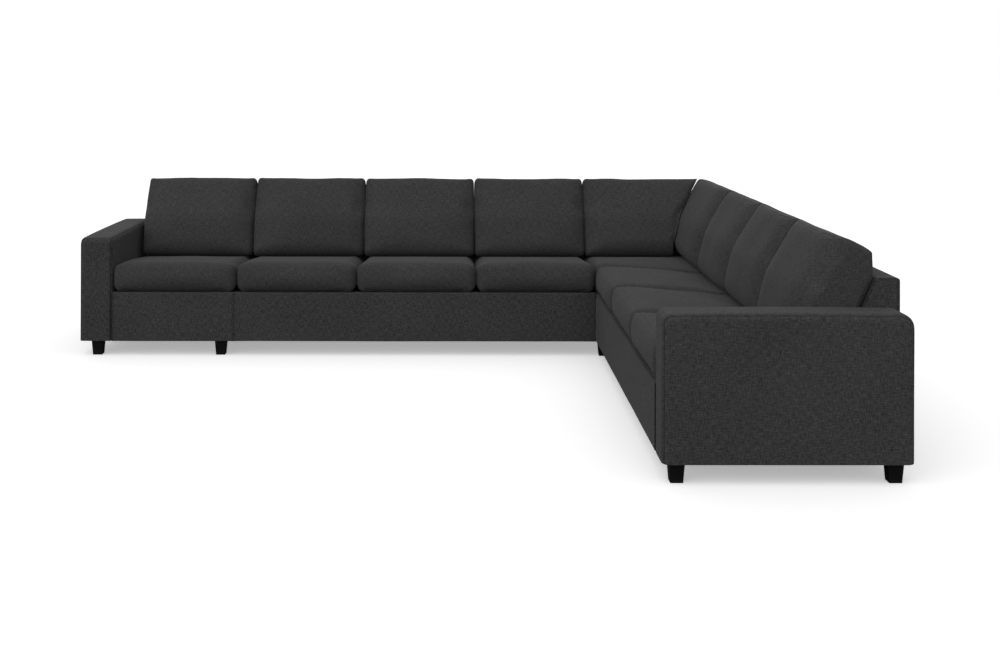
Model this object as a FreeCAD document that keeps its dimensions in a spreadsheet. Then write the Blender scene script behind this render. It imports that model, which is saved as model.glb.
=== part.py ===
import FreeCAD, Part
import math
import os
import re

# A modular corner sofa: a long side of four seats with an arm at its left end, a corner,
# and a wing of three seats that runs towards the viewer and ends in the second arm.
# The frame is +Z up, with its origin on the floor under the middle of the whole sofa.
# Each module is drawn in its own local frame: x along its width from its left end, y from
# its front plane back to its rear plane, z up from the floor. The wing's frame is turned.

SIZES = [
    ("seat_pitch", 610, "width of one seat place"),
    ("long_seats", 4, "seat places on the long side"),
    ("middle_seats", 3, "seat places of the middle module"),
    ("wing_seats", 3, "seat places of the wing"),
    ("first_seat_extra", 12, "how far the first cushion reaches over the module split"),
    ("module_depth", 885, "front plane to rear plane of every module"),
    ("arm_w", 165, "thickness of an arm"),
    ("arm_top", 600, "height of an arm"),
    ("arm_pad", 12, "foam and fabric over the arm boards"),
    ("arm_round", 27, "rounding of the arm's padded edges"),
    ("arm_front_round", 30, "rounding of the arm's upper front corner, seen from its side"),
    ("arm_rear_round", 48, "rounding of the arm's upper rear corner, seen from its side"),
    ("arm_front_cut", 16, "bevel of the arm boards under the upper front corner"),
    ("arm_rear_cut", 26, "bevel of the arm boards under the upper rear corner"),
    ("arm_board_t", 12, "arm side boards"),
    ("arm_end_t", 18, "arm front, rear, top and bottom boards"),
    ("foot_h", 75, "floor to the underside of the base"),
    ("foot_top_w", 57, "width of a foot at its top"),
    ("foot_floor_w", 45, "width of a foot at the floor"),
    ("foot_inset", 30, "how far a foot stands back from the edges"),
    ("corner_foot_inset", 12, "how far the inner corner's feet stand back"),
    ("arm_foot_inset", 34, "how far the wing arm's feet stand back"),
    ("end_foot_inset", 42, "module end to the side of a foot"),
    ("base_top", 320, "top of the base, under the seat cushions"),
    ("base_pad", 5, "fabric and wadding over the base front"),
    ("base_round", 4, "rounding of the base cover's edges"),
    ("rail_t", 22, "thickness of the base rails"),
    ("cross_top", 240, "top of the side, rear and cross rails"),
    ("stretcher_h", 90, "height of the low stretchers"),
    ("block_w", 70, "width of a foot block"),
    ("block_h", 60, "height of a foot block"),
    ("dust_t", 1.5, "thickness of the underside cloth"),
    ("deck_t", 6, "thickness of the seat deck pad"),
    ("strap_t", 2, "thickness of a webbing strap"),
    ("strap_w", 55, "width of a webbing strap"),
    ("straps_per_seat", 5, "webbing straps under one seat"),
    ("seat_rail_set", 278, "rear plane to the rear of the rail that the straps end on"),
    ("corner_deck_top", 300, "underside level of the corner cushion"),
    ("back_top", 700, "top of the fixed back"),
    ("back_top_t", 86, "thickness of the fixed back at its top"),
    ("back_lean", 0.41, "run per rise of the fixed back's front"),
    ("back_root", 262, "lowest level of the back cover's front"),
    ("back_pad", 6, "fabric and wadding over the back boards"),
    ("back_round", 12, "rounding of the back's top edges"),
    ("back_board_t", 9, "boards of the fixed back"),
    ("gable_t", 18, "thickness of a gable inside the back"),
    ("corner_post_w", 40, "width of the post in the corner back"),
    ("corner_gable_x", 400, "place of the corner back's inner gables"),
    ("stud_d", 8, "diameter of foot studs and joining bolts"),
    ("hole_clear", 0.3, "radial clearance of a stud or bolt in its hole"),
    ("stud_in_foot", 40, "length of a stud inside its foot"),
    ("stud_in_frame", 34, "length of a stud above its foot"),
    ("bolt_z", 150, "height of the joining bolts"),
    ("bolt_front_set", 190, "front plane to the front joining bolts"),
    ("bolt_rear_set", 185, "rear plane to the rear joining bolts"),
    ("bolt_head_w", 13, "width across a bolt head or nut"),
    ("bolt_head_t", 5.5, "thickness of a bolt head or nut"),
    ("soft_gap", 0.5, "rest clearance under a loose cushion"),
    ("front_gap", 2.5, "base top to the cushion's underside at the front"),
    ("side_gap", 1, "side clearance of a loose cushion"),
    ("back_gap", 2, "clearance of a cushion before the fixed back"),
    ("seat_t", 143, "thickness of a seat cushion at its edges"),
    ("seat_fall", 0.0742, "fall of the seat per depth"),
    ("seat_crown", 12, "crown of a seat cushion"),
    ("seat_bulge", 16, "bulge of a seat cushion's front"),
    ("seat_round", 26, "rounding of a seat cushion's front edges"),
    ("seat_rear_round", 10, "rounding of a seat cushion's rear edges"),
    ("seat_end_round", 34, "rounding of a seat cushion's ends"),
    ("crown_reach", 110, "how far from a seat cushion's end its crown grows"),
    ("back_foot_set", 415, "rear plane to the front foot of a back cushion"),
    ("back_belly_set", 365, "rear plane to the bend in a back cushion's front"),
    ("back_belly_z", 640, "height of the bend in a back cushion's front"),
    ("back_ridge_set", 237, "rear plane to the front top corner of a back cushion"),
    ("back_ridge_z", 852, "height of the front top corner of a back cushion"),
    ("back_rear_set", 90, "rear plane to the rear top corner of a back cushion"),
    ("back_rear_z", 788, "height of the rear top corner of a back cushion"),
    ("back_foot_round", 70, "how a back cushion's front curves under"),
    ("back_belly_round", 200, "rounding of the bend in a back cushion's front"),
    ("back_ridge_round", 24, "rounding of a back cushion's front top corner"),
    ("back_rear_round", 12, "rounding of a back cushion's rear corners"),
    ("back_top_bulge", 8, "bulge of a back cushion's top"),
    ("back_end_round", 24, "rounding of a back cushion's ends"),
    ("back_end_fall", 46, "how far a back cushion's front falls back at its ends"),
    ("fall_reach", 60, "how far from a back cushion's end its front falls back"),
    ("first_back_set", 20, "how far the first back cushion stands off the arm"),
    ("corner_back_len", 655, "length of the cushion that fills the corner"),
]

doc = FreeCAD.newDocument("corner_sofa")
sheet = doc.addObject("Spreadsheet::Sheet", "Sizes")
for row, (alias, value, meaning) in enumerate(SIZES, start=1):
    sheet.set(f"A{row}", meaning)
    sheet.set(f"B{row}", str(value))
    sheet.setAlias(f"B{row}", alias)
doc.recompute()

ALIASES = {alias for alias, _, _ in SIZES}
SAME_LENGTH = 0.000001
nodes = []


def size(alias):
    """A size of the sheet as a number."""
    return float(getattr(sheet, alias))


def count(alias):
    """A count of the sheet as a whole number."""
    return int(round(size(alias)))


def bind(piece, prop, text):
    """Ties one property to a formula of the sheet's sizes."""
    formula = re.sub(
        r"[a-z][a-z_0-9]*",
        lambda word: f"Sizes.{word.group()}" if word.group() in ALIASES else word.group(),
        text,
    )
    piece.setExpression(prop, formula)


def place(piece, frame):
    """Puts a piece that is drawn in a module's local frame into the sofa."""
    x_text, y_text, turned = frame
    if turned:
        piece.Placement = FreeCAD.Placement(
            FreeCAD.Vector(), FreeCAD.Rotation(FreeCAD.Vector(0, 0, 1), -90)
        )
    bind(piece, "Placement.Base.x", x_text)
    bind(piece, "Placement.Base.y", y_text)
    return piece


def node(piece, label, frame=None):
    """Names a finished sub-part, and places it in the sofa."""
    piece.Label = label
    if frame:
        place(piece, frame)
    nodes.append(piece)
    return piece


# Plain pieces, drawn in a module's local frame


def box(name, corner, lengths):
    piece = doc.addObject("Part::Box", name)
    for prop, text in zip(("Length", "Width", "Height"), lengths):
        bind(piece, prop, text)
    for axis, text in zip("xyz", corner):
        bind(piece, f"Placement.Base.{axis}", text)
    return piece


def wedge(name, x_low, x_high, z_low, z_high, low, high, turned=False):
    """A prism along x that spans the depths low at z_low and the depths high at z_high."""
    piece = doc.addObject("Part::Wedge", name)
    for prop, text in (
        ("Ymin", z_low),
        ("Ymax", z_high),
        ("Xmin", low[0]),
        ("Xmax", low[1]),
        ("X2min", high[0]),
        ("X2max", high[1]),
        ("Zmin", x_low),
        ("Zmax", x_high),
        ("Z2min", x_low),
        ("Z2max", x_high),
    ):
        bind(piece, prop, text)
    upright = FreeCAD.Rotation(FreeCAD.Vector(1, 1, 1), 120)
    turn = FreeCAD.Rotation(FreeCAD.Vector(0, 0, 1), -90 if turned else 0)
    piece.Placement = FreeCAD.Placement(FreeCAD.Vector(), turn.multiply(upright))
    return piece


def sloped_slab(name, x_low, x_high, y_low, y_high, top_of, thickness):
    """A slab that falls towards the rear. top_of gives its top level at a depth."""
    piece = doc.addObject("Part::Wedge", name)
    for prop, text in (
        ("Ymin", y_low),
        ("Ymax", y_high),
        ("Xmin", f"{top_of(y_low)} - {thickness}"),
        ("Xmax", top_of(y_low)),
        ("X2min", f"{top_of(y_high)} - {thickness}"),
        ("X2max", top_of(y_high)),
        ("Zmin", f"-({x_high})"),
        ("Zmax", f"-({x_low})"),
        ("Z2min", f"-({x_high})"),
        ("Z2max", f"-({x_low})"),
    ):
        bind(piece, prop, text)
    piece.Placement = FreeCAD.Placement(
        FreeCAD.Vector(), FreeCAD.Rotation(FreeCAD.Vector(0, 1, 0), -90)
    )
    return piece


LAID_ALONG = {
    "x": FreeCAD.Rotation(FreeCAD.Vector(0, 1, 0), 90),
    "y": FreeCAD.Rotation(FreeCAD.Vector(1, 0, 0), -90),
    "z": FreeCAD.Rotation(),
}


def rod(name, centre, length, radius, along="z"):
    """A round bar that starts at centre and runs up, or along another axis."""
    piece = doc.addObject("Part::Cylinder", name)
    bind(piece, "Radius", radius)
    bind(piece, "Height", length)
    piece.Placement = FreeCAD.Placement(FreeCAD.Vector(), LAID_ALONG[along])
    for axis, text in zip("xyz", centre):
        bind(piece, f"Placement.Base.{axis}", text)
    return piece


def hexagon(name, centre, length):
    """A six-sided bar along x, for bolt heads and nuts."""
    piece = doc.addObject("Part::Prism", name)
    piece.Polygon = 6
    bind(piece, "Circumradius", "bolt_head_w / 2 / cos(30)")
    bind(piece, "Height", length)
    piece.Placement = FreeCAD.Placement(FreeCAD.Vector(), LAID_ALONG["x"])
    for axis, text in zip("xyz", centre):
        bind(piece, f"Placement.Base.{axis}", text)
    return piece


def cut(name, base, tools):
    """The base without its tools. With no tool it is the base itself."""
    if not tools:
        return base
    piece = doc.addObject("Part::Cut", name)
    piece.Base = base
    piece.Tool = tools[0] if len(tools) == 1 else fuse(f"{name}_tools", tools)
    return piece


def within(name, base, form):
    """The part of the base that lies inside a form."""
    piece = doc.addObject("Part::Common", name)
    piece.Base = base
    piece.Tool = form
    return piece


def fuse(name, pieces):
    piece = doc.addObject("Part::MultiFuse", name)
    piece.Shapes = pieces
    return piece


def group(name, pieces):
    """Separate solids that share one node."""
    piece = doc.addObject("Part::Compound", name)
    piece.Links = pieces
    return piece


def rounded(name, base, alias, chosen, kind="Part::Fillet"):
    """The base with its chosen edges rounded, or bevelled, by one of the sheet's sizes."""
    doc.recompute()
    reach = size(alias)
    piece = doc.addObject(kind, name)
    piece.Base = base
    piece.Edges = [
        (number, reach, reach)
        for number, edge in enumerate(base.Shape.Edges, start=1)
        if chosen(edge)
    ]
    return piece


def middle(edge):
    return edge.valueAt((edge.FirstParameter + edge.LastParameter) / 2)


def runs_along(edge, axis):
    ends = [vertex.Point for vertex in edge.Vertexes]
    step = ends[-1] - ends[0]
    return abs(abs(getattr(step, axis)) - step.Length) < SAME_LENGTH


# Places of the modules: the long side's left end, its front plane and the corner

LEFT_X = "-(arm_w + long_seats * seat_pitch + module_depth) / 2"
FRONT_Y = "(wing_seats * seat_pitch + arm_w - module_depth) / 2"
SEATS_X = f"{LEFT_X} + arm_w"
MIDDLE_X = f"{SEATS_X} + (long_seats - middle_seats) * seat_pitch"
CORNER_X = f"{SEATS_X} + long_seats * seat_pitch"

LEFT = (LEFT_X, FRONT_Y, False)
MIDDLE = (MIDDLE_X, FRONT_Y, False)
CORNER = (CORNER_X, FRONT_Y, False)
WING = (CORNER_X, FRONT_Y, True)

RAIL_BOTTOM = "(foot_h + base_pad)"
FOOT_TOP = "(foot_h + base_pad - dust_t)"
BOARD_TOP = "(back_top - back_pad - rail_t)"
REAR_INSIDE = "(module_depth - back_pad)"
SEAT_RAIL_END = "(module_depth - seat_rail_set)"
BOLT_DEPTHS = ("bolt_front_set", "(module_depth - bolt_rear_set)")


def back_face(level, inset="0"):
    """Depth of the fixed back's leaning front at a level, moved in by inset."""
    return f"(module_depth - back_top_t - (back_top - ({level})) * back_lean + {inset})"


def deck_level(depth):
    return f"(base_top + front_gap - soft_gap - seat_fall * ({depth}))"


def strap_level(depth):
    return f"({deck_level(depth)} - deck_t)"


# Feet, with their studs


def foot(name, x, y):
    """A square foot that tapers towards the floor, with a blind hole for its stud."""
    body = wedge(
        f"{name}_block",
        f"{x} - foot_floor_w / 2",
        f"{x} + foot_floor_w / 2",
        "0",
        FOOT_TOP,
        (f"{y} - foot_floor_w / 2", f"{y} + foot_floor_w / 2"),
        (f"{y} - foot_top_w / 2", f"{y} + foot_top_w / 2"),
    )
    bind(body, "Z2min", f"{x} - foot_top_w / 2")
    bind(body, "Z2max", f"{x} + foot_top_w / 2")
    return cut(name, body, [stud_hole(f"{name}_hole", x, y)])


def stud_hole(name, x, y):
    """The hole that a stud stands in, through the foot's top and the frame above it."""
    return rod(
        name,
        (x, y, f"{FOOT_TOP} - stud_in_foot"),
        "stud_in_foot + stud_in_frame + block_h",
        "stud_d / 2 + hole_clear",
    )


def stud(name, x, y):
    return rod(
        name, (x, y, f"{FOOT_TOP} - stud_in_foot"), "stud_in_foot + stud_in_frame", "stud_d / 2"
    )


ARM_FOOT_X = "(arm_w / 2)"
FRONT_FOOT_Y = "(foot_inset + foot_top_w / 2)"
REAR_FOOT_Y = "(module_depth - foot_inset - foot_top_w / 2)"
END_FOOT = "(end_foot_inset + foot_top_w / 2)"
CORNER_FOOT = "(corner_foot_inset + foot_top_w / 2)"
WING_LENGTH = "(wing_seats * seat_pitch)"
WING_ARM_FOOT_X = f"({WING_LENGTH} + arm_w - arm_foot_inset - foot_top_w / 2)"
MIDDLE_LENGTH = "(middle_seats * seat_pitch)"
SUPPORT_Y = "(module_depth / 2)"


def support_x(length):
    """A hidden foot beside the stretcher under the middle of a long module."""
    return f"({length} / 2 + rail_t / 2 + block_w / 2)"


# Feet under each module, and the place of the block over each foot that needs one
LEFT_END = "(arm_w + (long_seats - middle_seats) * seat_pitch)"
FEET = {
    "left": (
        LEFT,
        [
            (ARM_FOOT_X, FRONT_FOOT_Y),
            (ARM_FOOT_X, REAR_FOOT_Y),
            (f"({LEFT_END} - {END_FOOT})", FRONT_FOOT_Y),
            (f"({LEFT_END} - {END_FOOT})", REAR_FOOT_Y),
        ],
    ),
    "middle": (
        MIDDLE,
        [
            (END_FOOT, REAR_FOOT_Y),
            (f"({MIDDLE_LENGTH} - {END_FOOT})", REAR_FOOT_Y),
            (support_x(MIDDLE_LENGTH), SUPPORT_Y),
        ],
    ),
    "corner": (
        CORNER,
        [
            (CORNER_FOOT, CORNER_FOOT),
            (REAR_FOOT_Y, CORNER_FOOT),
            (CORNER_FOOT, REAR_FOOT_Y),
            (REAR_FOOT_Y, REAR_FOOT_Y),
        ],
    ),
    "wing": (
        WING,
        [
            (WING_ARM_FOOT_X, FRONT_FOOT_Y),
            (WING_ARM_FOOT_X, REAR_FOOT_Y),
            (END_FOOT, REAR_FOOT_Y),
            (support_x(WING_LENGTH), SUPPORT_Y),
        ],
    ),
}


def make_feet():
    studs = []
    for module, (frame, places) in FEET.items():
        feet = [foot(f"{module}_foot_{i}", x, y) for i, (x, y) in enumerate(places, start=1)]
        node(group(f"{module}_feet_group", feet), f"{module}_feet", frame)
        bars = [stud(f"{module}_stud_{i}", x, y) for i, (x, y) in enumerate(places, start=1)]
        studs.append(place(group(f"{module}_studs", bars), frame))
    node(group("all_studs", studs), "foot_studs")


# Base frames


def bolt_holes(name, at, along="x"):
    """Holes for the two joining bolts through a rail or board whose near face is at at."""
    start = f"{at} - block_w / 2"
    return [
        rod(
            f"{name}_bolt_hole_{i}",
            (start, depth, "bolt_z") if along == "x" else (depth, start, "bolt_z"),
            "rail_t + block_w",
            "stud_d / 2 + hole_clear",
            along,
        )
        for i, depth in enumerate(BOLT_DEPTHS, start=1)
    ]


def base_frame(module, start, seats, blocks):
    """Front, rear, end and cross rails with the rail that the straps end on."""
    frame, places = FEET[module]
    length = f"({seats} * seat_pitch)"
    inner_y = "(base_pad + rail_t)"
    rear_y = f"({REAR_INSIDE} - rail_t)"
    rail_h = f"cross_top - {RAIL_BOTTOM}"
    rails = [
        box(
            f"{module}_front_rail",
            (start, "base_pad", RAIL_BOTTOM),
            (length, "rail_t", f"base_top - base_pad - {RAIL_BOTTOM}"),
        ),
        box(f"{module}_rear_rail", (start, rear_y, RAIL_BOTTOM), (length, "rail_t", rail_h)),
    ]
    for i, x in enumerate((start, f"{start} + {length} - rail_t"), start=1):
        rail = box(
            f"{module}_end_rail_{i}",
            (x, inner_y, RAIL_BOTTOM),
            ("rail_t", f"{rear_y} - {inner_y}", rail_h),
        )
        rails.append(cut(f"{module}_end_{i}", rail, bolt_holes(f"{module}_end_{i}", x)))
    for i in range(1, 2 * count_of(seats)):
        height = rail_h if i % 2 == 0 else "stretcher_h"
        rails.append(
            box(
                f"{module}_cross_{i}",
                (f"{start} + {i} * seat_pitch / 2 - rail_t / 2", inner_y, RAIL_BOTTOM),
                ("rail_t", f"{rear_y} - {inner_y}", height),
            )
        )
    rails.append(
        box(
            f"{module}_seat_rail",
            (start, f"{SEAT_RAIL_END} - rail_t", "cross_top"),
            (length, "rail_t", f"{strap_level(SEAT_RAIL_END)} - strap_t - cross_top"),
        )
    )
    rails += foot_blocks(module, blocks)
    node(group(f"{module}_rails", rails), f"{module}_base_frame", frame)


def foot_blocks(module, blocks):
    """Timber blocks over the feet: each takes the foot's stud."""
    frame, places = FEET[module]
    made = []
    for number, (x, y) in blocks.items():
        block = box(
            f"{module}_block_{number}",
            (x, y, RAIL_BOTTOM),
            ("block_w", "block_w", "block_h"),
        )
        hole = stud_hole(f"{module}_block_hole_{number}", *places[number])
        made.append(cut(f"{module}_foot_block_{number}", block, [hole]))
    return made


def count_of(text):
    """The whole number that a count's formula stands for."""
    value = 0
    for term in text.strip("()").split(" - "):
        number = count(term)
        value = number if value == 0 else value - number
    return value


REAR_BLOCK_Y = f"{REAR_INSIDE} - rail_t - block_w"
LEFT_SEATS = "(long_seats - middle_seats)"


def make_base_frames():
    base_frame(
        "left",
        "arm_w",
        LEFT_SEATS,
        {
            2: (f"{LEFT_END} - rail_t - block_w", "base_pad + rail_t"),
            3: (f"{LEFT_END} - rail_t - block_w", REAR_BLOCK_Y),
        },
    )
    base_frame(
        "middle",
        "0",
        "middle_seats",
        {
            0: ("rail_t", REAR_BLOCK_Y),
            1: (f"{MIDDLE_LENGTH} - rail_t - block_w", REAR_BLOCK_Y),
            2: (f"{support_x(MIDDLE_LENGTH)} - block_w / 2", f"{SUPPORT_Y} - block_w / 2"),
        },
    )
    base_frame(
        "wing",
        "0",
        "wing_seats",
        {
            2: ("rail_t", REAR_BLOCK_Y),
            3: (f"{support_x(WING_LENGTH)} - block_w / 2", f"{SUPPORT_Y} - block_w / 2"),
        },
    )
    corner_base_frame()


def corner_base_frame():
    """A square of rails. The two that meet the other modules take the joining bolts."""
    rear = f"({REAR_INSIDE} - rail_t)"
    rail_h = f"cross_top - {RAIL_BOTTOM}"
    batten_h = "corner_deck_top - soft_gap - deck_t - strap_t - cross_top"
    left_rail = box(
        "corner_left_rail",
        ("0", "rail_t", RAIL_BOTTOM),
        ("rail_t", f"{rear} - rail_t", rail_h),
    )
    front_rail = box(
        "corner_front_rail", ("0", "0", RAIL_BOTTOM), (REAR_INSIDE, "rail_t", rail_h)
    )
    rails = [
        cut("corner_left_end", left_rail, bolt_holes("corner_left", "0")),
        cut("corner_front_end", front_rail, bolt_holes("corner_front", "0", along="y")),
        box("corner_rear_rail", ("0", rear, RAIL_BOTTOM), (rear, "rail_t", rail_h)),
        box(
            "corner_right_rail",
            (rear, "rail_t", RAIL_BOTTOM),
            ("rail_t", f"{REAR_INSIDE} - rail_t", rail_h),
        ),
        box(
            "corner_front_batten",
            ("0", "0", "cross_top"),
            (SEAT_RAIL_END, "rail_t", batten_h),
        ),
        box(
            "corner_seat_rail",
            ("0", f"{SEAT_RAIL_END} - rail_t", "cross_top"),
            (SEAT_RAIL_END, "rail_t", batten_h),
        ),
    ]
    for i in (1, 2):
        rails.append(
            box(
                f"corner_cross_{i}",
                (f"{i} * {REAR_INSIDE} / 3 - rail_t / 2", "rail_t", RAIL_BOTTOM),
                ("rail_t", f"{rear} - rail_t", rail_h),
            )
        )
    far = f"{REAR_INSIDE} - rail_t - block_w"
    rails += foot_blocks(
        "corner",
        {
            0: ("rail_t", "rail_t"),
            1: (far, "rail_t"),
            2: ("rail_t", far),
            3: (far, far),
        },
    )
    node(group("corner_rails", rails), "corner_base_frame", CORNER)


# Suspension, decks and cloths


def suspension(module, start, seats):
    """Elastic webbing from the front rail to the seat rail, and the deck pad on it."""
    frame, _ = FEET[module]
    straps = []
    per_seat = count("straps_per_seat")
    for i in range(per_seat * count_of(seats)):
        centre = f"{start} + {i + 0.5} * seat_pitch / straps_per_seat"
        straps.append(
            sloped_slab(
                f"{module}_strap_{i + 1}",
                f"{centre} - strap_w / 2",
                f"{centre} + strap_w / 2",
                "(base_pad + rail_t)",
                SEAT_RAIL_END,
                strap_level,
                "strap_t",
            )
        )
    node(group(f"{module}_straps", straps), f"{module}_seat_webbing", frame)
    deck = sloped_slab(
        f"{module}_deck",
        f"{start} + side_gap",
        f"{start} + {seats} * seat_pitch - side_gap",
        "(base_pad + rail_t)",
        back_face("back_root", "-back_gap"),
        deck_level,
        "deck_t",
    )
    node(group(f"{module}_deck_group", [deck]), f"{module}_seat_deck", frame)


def corner_suspension():
    top = "(corner_deck_top - soft_gap)"
    reach = f"({back_face('back_root')} - back_gap)"
    straps = []
    number = count("straps_per_seat")
    for i in range(number):
        centre = f"rail_t + {i + 0.5} * ({reach} - rail_t) / {number}"
        straps.append(
            box(
                f"corner_strap_{i + 1}",
                (f"{centre} - strap_w / 2", "0", f"{top} - deck_t - strap_t"),
                ("strap_w", SEAT_RAIL_END, "strap_t"),
            )
        )
    node(group("corner_straps", straps), "corner_seat_webbing", CORNER)
    deck = box(
        "corner_deck",
        ("side_gap", "side_gap", f"{top} - deck_t"),
        (f"{reach} - side_gap", f"{reach} - side_gap", "deck_t"),
    )
    node(deck, "corner_seat_deck")
    bind(deck, "Placement.Base.x", f"{CORNER_X} + side_gap")
    bind(deck, "Placement.Base.y", f"{FRONT_Y} + side_gap")


def dust_cover(module, start, length, front, numbers):
    """The black cloth under the base. Foot studs pass through it."""
    frame, places = FEET[module]
    sheet_box = box(
        f"{module}_cloth",
        (start, front, f"{RAIL_BOTTOM} - dust_t"),
        (length, f"{REAR_INSIDE} - {front}", "dust_t"),
    )
    holes = [stud_hole(f"{module}_cloth_hole_{i}", *places[i]) for i in numbers]
    node(cut(f"{module}_cloth_cut", sheet_box, holes), f"{module}_dust_cover", frame)


def front_cover(module, start, seats):
    """The upholstered front of the base: it wraps the front rail's face, top and underside."""
    frame, _ = FEET[module]
    length = f"({seats} * seat_pitch)"
    outer = box(
        f"{module}_front_outer",
        (start, "0", "foot_h"),
        (length, "base_pad + rail_t", "base_top - foot_h"),
    )
    inner = box(
        f"{module}_front_inner",
        (f"{start} - rail_t", "base_pad", RAIL_BOTTOM),
        (f"{length} + 2 * rail_t", "2 * rail_t", f"base_top - base_pad - {RAIL_BOTTOM}"),
    )
    soft = rounded(
        f"{module}_front_soft",
        outer,
        "base_round",
        lambda edge: runs_along(edge, "x") and middle(edge).y < size("base_pad"),
    )
    node(cut(f"{module}_front", soft, [inner]), f"{module}_base_cover", frame)


# The fixed back


def back_prism(name, x_low, x_high, z_low, z_high, inset, turned=False):
    """A length of the fixed back's leaning section, inset from its outer faces."""
    rear = f"module_depth - {inset}"
    return wedge(
        name,
        x_low,
        x_high,
        z_low,
        z_high,
        (back_face(z_low, inset), rear),
        (back_face(z_high, inset), rear),
        turned,
    )


def front_board(name, x_low, x_high, turned=False):
    """The leaning board under the back's front cover."""
    return wedge(
        name,
        x_low,
        x_high,
        "cross_top",
        BOARD_TOP,
        (back_face("cross_top", "back_pad"), back_face("cross_top", "back_pad + back_board_t")),
        (back_face(BOARD_TOP, "back_pad"), back_face(BOARD_TOP, "back_pad + back_board_t")),
        turned,
    )


def gable(name, x, turned=False):
    """An upright panel that holds the front and rear boards apart."""
    rear = f"{REAR_INSIDE} - back_board_t"
    inset = "back_pad + back_board_t"
    return wedge(
        name,
        x,
        f"{x} + gable_t",
        "cross_top",
        BOARD_TOP,
        (back_face("cross_top", inset), rear),
        (back_face(BOARD_TOP, inset), rear),
        turned,
    )


def soft_prism(name, x_low, x_high, turned=False):
    """The back's outer form with its two long top edges rounded."""
    outer = back_prism(f"{name}_outer", x_low, x_high, "back_root", "back_top", "0", turned)
    along = "y" if turned else "x"
    return rounded(
        f"{name}_soft",
        outer,
        "back_round",
        lambda edge: runs_along(edge, along) and middle(edge).z > size("back_top") - 1,
    )


def fixed_back(module, start, seats):
    frame, _ = FEET[module]
    end = f"{start} + {seats} * seat_pitch"
    low = f"({start} + back_pad)"
    high = f"({end} - back_pad)"
    gables = [
        gable(f"{module}_gable_start", low),
        gable(f"{module}_gable_end", f"({high} - gable_t)"),
    ]
    for i in range(1, count_of(seats)):
        x = f"({start} + {i} * seat_pitch - gable_t / 2)"
        gables.append(gable(f"{module}_gable_{i}", x))
    top_rail = back_prism(
        f"{module}_top_rail", low, high, BOARD_TOP, "back_top - back_pad", "back_pad"
    )
    node(group(f"{module}_back_timber", gables + [top_rail]), f"{module}_back_frame", frame)
    rear_board = box(
        f"{module}_rear_board",
        (low, f"{REAR_INSIDE} - back_board_t", "cross_top"),
        (f"{high} - {low}", "back_board_t", f"{BOARD_TOP} - cross_top"),
    )
    boards = [front_board(f"{module}_front_board", low, high), rear_board]
    node(group(f"{module}_boards", boards), f"{module}_back_boards", frame)
    inner = back_prism(
        f"{module}_back_inner", low, high, "cross_top", "back_top - back_pad", "back_pad"
    )
    skirt = box(
        f"{module}_skirt",
        (start, REAR_INSIDE, "foot_h"),
        (f"{end} - {start}", "back_pad", "back_root - foot_h"),
    )
    shell = cut(f"{module}_back_shell", soft_prism(f"{module}_back", start, end), [inner])
    node(fuse(f"{module}_back_skin", [shell, skirt]), f"{module}_back_cover", frame)


def corner_back():
    """Two backs that meet in the corner, mitred along their leaning fronts."""
    low, high = "back_pad", f"({REAR_INSIDE})"
    inner = {
        "rear": back_prism(
            "corner_inner_rear", low, high, "cross_top", "back_top - back_pad", "back_pad"
        ),
        "side": back_prism(
            "corner_inner_side",
            f"-{high}",
            f"-{low}",
            "cross_top",
            "back_top - back_pad",
            "back_pad",
            True,
        ),
    }
    gable_x = "corner_gable_x"
    post_at = f"({REAR_INSIDE} - back_board_t - corner_post_w)"
    post = box(
        "corner_post",
        (post_at, post_at, "cross_top"),
        ("corner_post_w", "corner_post_w", f"{BOARD_TOP} - cross_top"),
    )
    rear_top = back_prism(
        "corner_rear_top_rail", low, high, BOARD_TOP, "back_top - back_pad", "back_pad"
    )
    side_top = back_prism(
        "corner_side_top_rail",
        f"-{high}",
        f"-{low}",
        BOARD_TOP,
        "back_top - back_pad",
        "back_pad",
        True,
    )
    timber = [
        gable("corner_rear_gable_1", low),
        gable("corner_rear_gable_2", gable_x),
        gable("corner_side_gable_1", f"(-{low} - gable_t)", True),
        gable("corner_side_gable_2", f"(-{gable_x} - gable_t)", True),
        post,
        rear_top,
        cut("corner_side_top", side_top, [rear_top]),
    ]
    node(group("corner_back_timber", timber), "corner_back_frame", CORNER)
    rear_front = front_board("corner_rear_front_board", low, high)
    side_front = front_board("corner_side_front_board", f"-{high}", f"-{low}", True)
    boards = [
        cut("corner_rear_front", rear_front, [inner["side"]]),
        cut("corner_side_front", side_front, [inner["rear"]]),
        box(
            "corner_rear_board",
            (low, f"{REAR_INSIDE} - back_board_t", "cross_top"),
            (f"{high} - {low}", "back_board_t", f"{BOARD_TOP} - cross_top"),
        ),
        box(
            "corner_side_board",
            (f"{REAR_INSIDE} - back_board_t", low, "cross_top"),
            ("back_board_t", f"{high} - back_board_t - {low}", f"{BOARD_TOP} - cross_top"),
        ),
    ]
    node(group("corner_boards", boards), "corner_back_boards", CORNER)
    outer = fuse(
        "corner_back_outer",
        [
            soft_prism("corner_rear_back", "0", "module_depth"),
            soft_prism("corner_side_back", "-module_depth", "0", True),
        ],
    )
    hollow = fuse("corner_back_hollow", list(inner.values()))
    shell = cut("corner_back_shell", outer, [hollow])
    skirts = [
        box(
            "corner_rear_skirt",
            ("0", REAR_INSIDE, "foot_h"),
            ("module_depth", "back_pad", "back_root - foot_h"),
        ),
        box(
            "corner_side_skirt",
            (REAR_INSIDE, "0", "foot_h"),
            ("back_pad", REAR_INSIDE, "back_root - foot_h"),
        ),
    ]
    node(fuse("corner_back_skin", [shell] + skirts), "corner_back_cover", CORNER)


# Arms


def is_cross_edge(edge, level):
    """Whether an edge runs across an arm at a level."""
    return runs_along(edge, "x") and abs(middle(edge).z - level) < SAME_LENGTH


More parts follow.
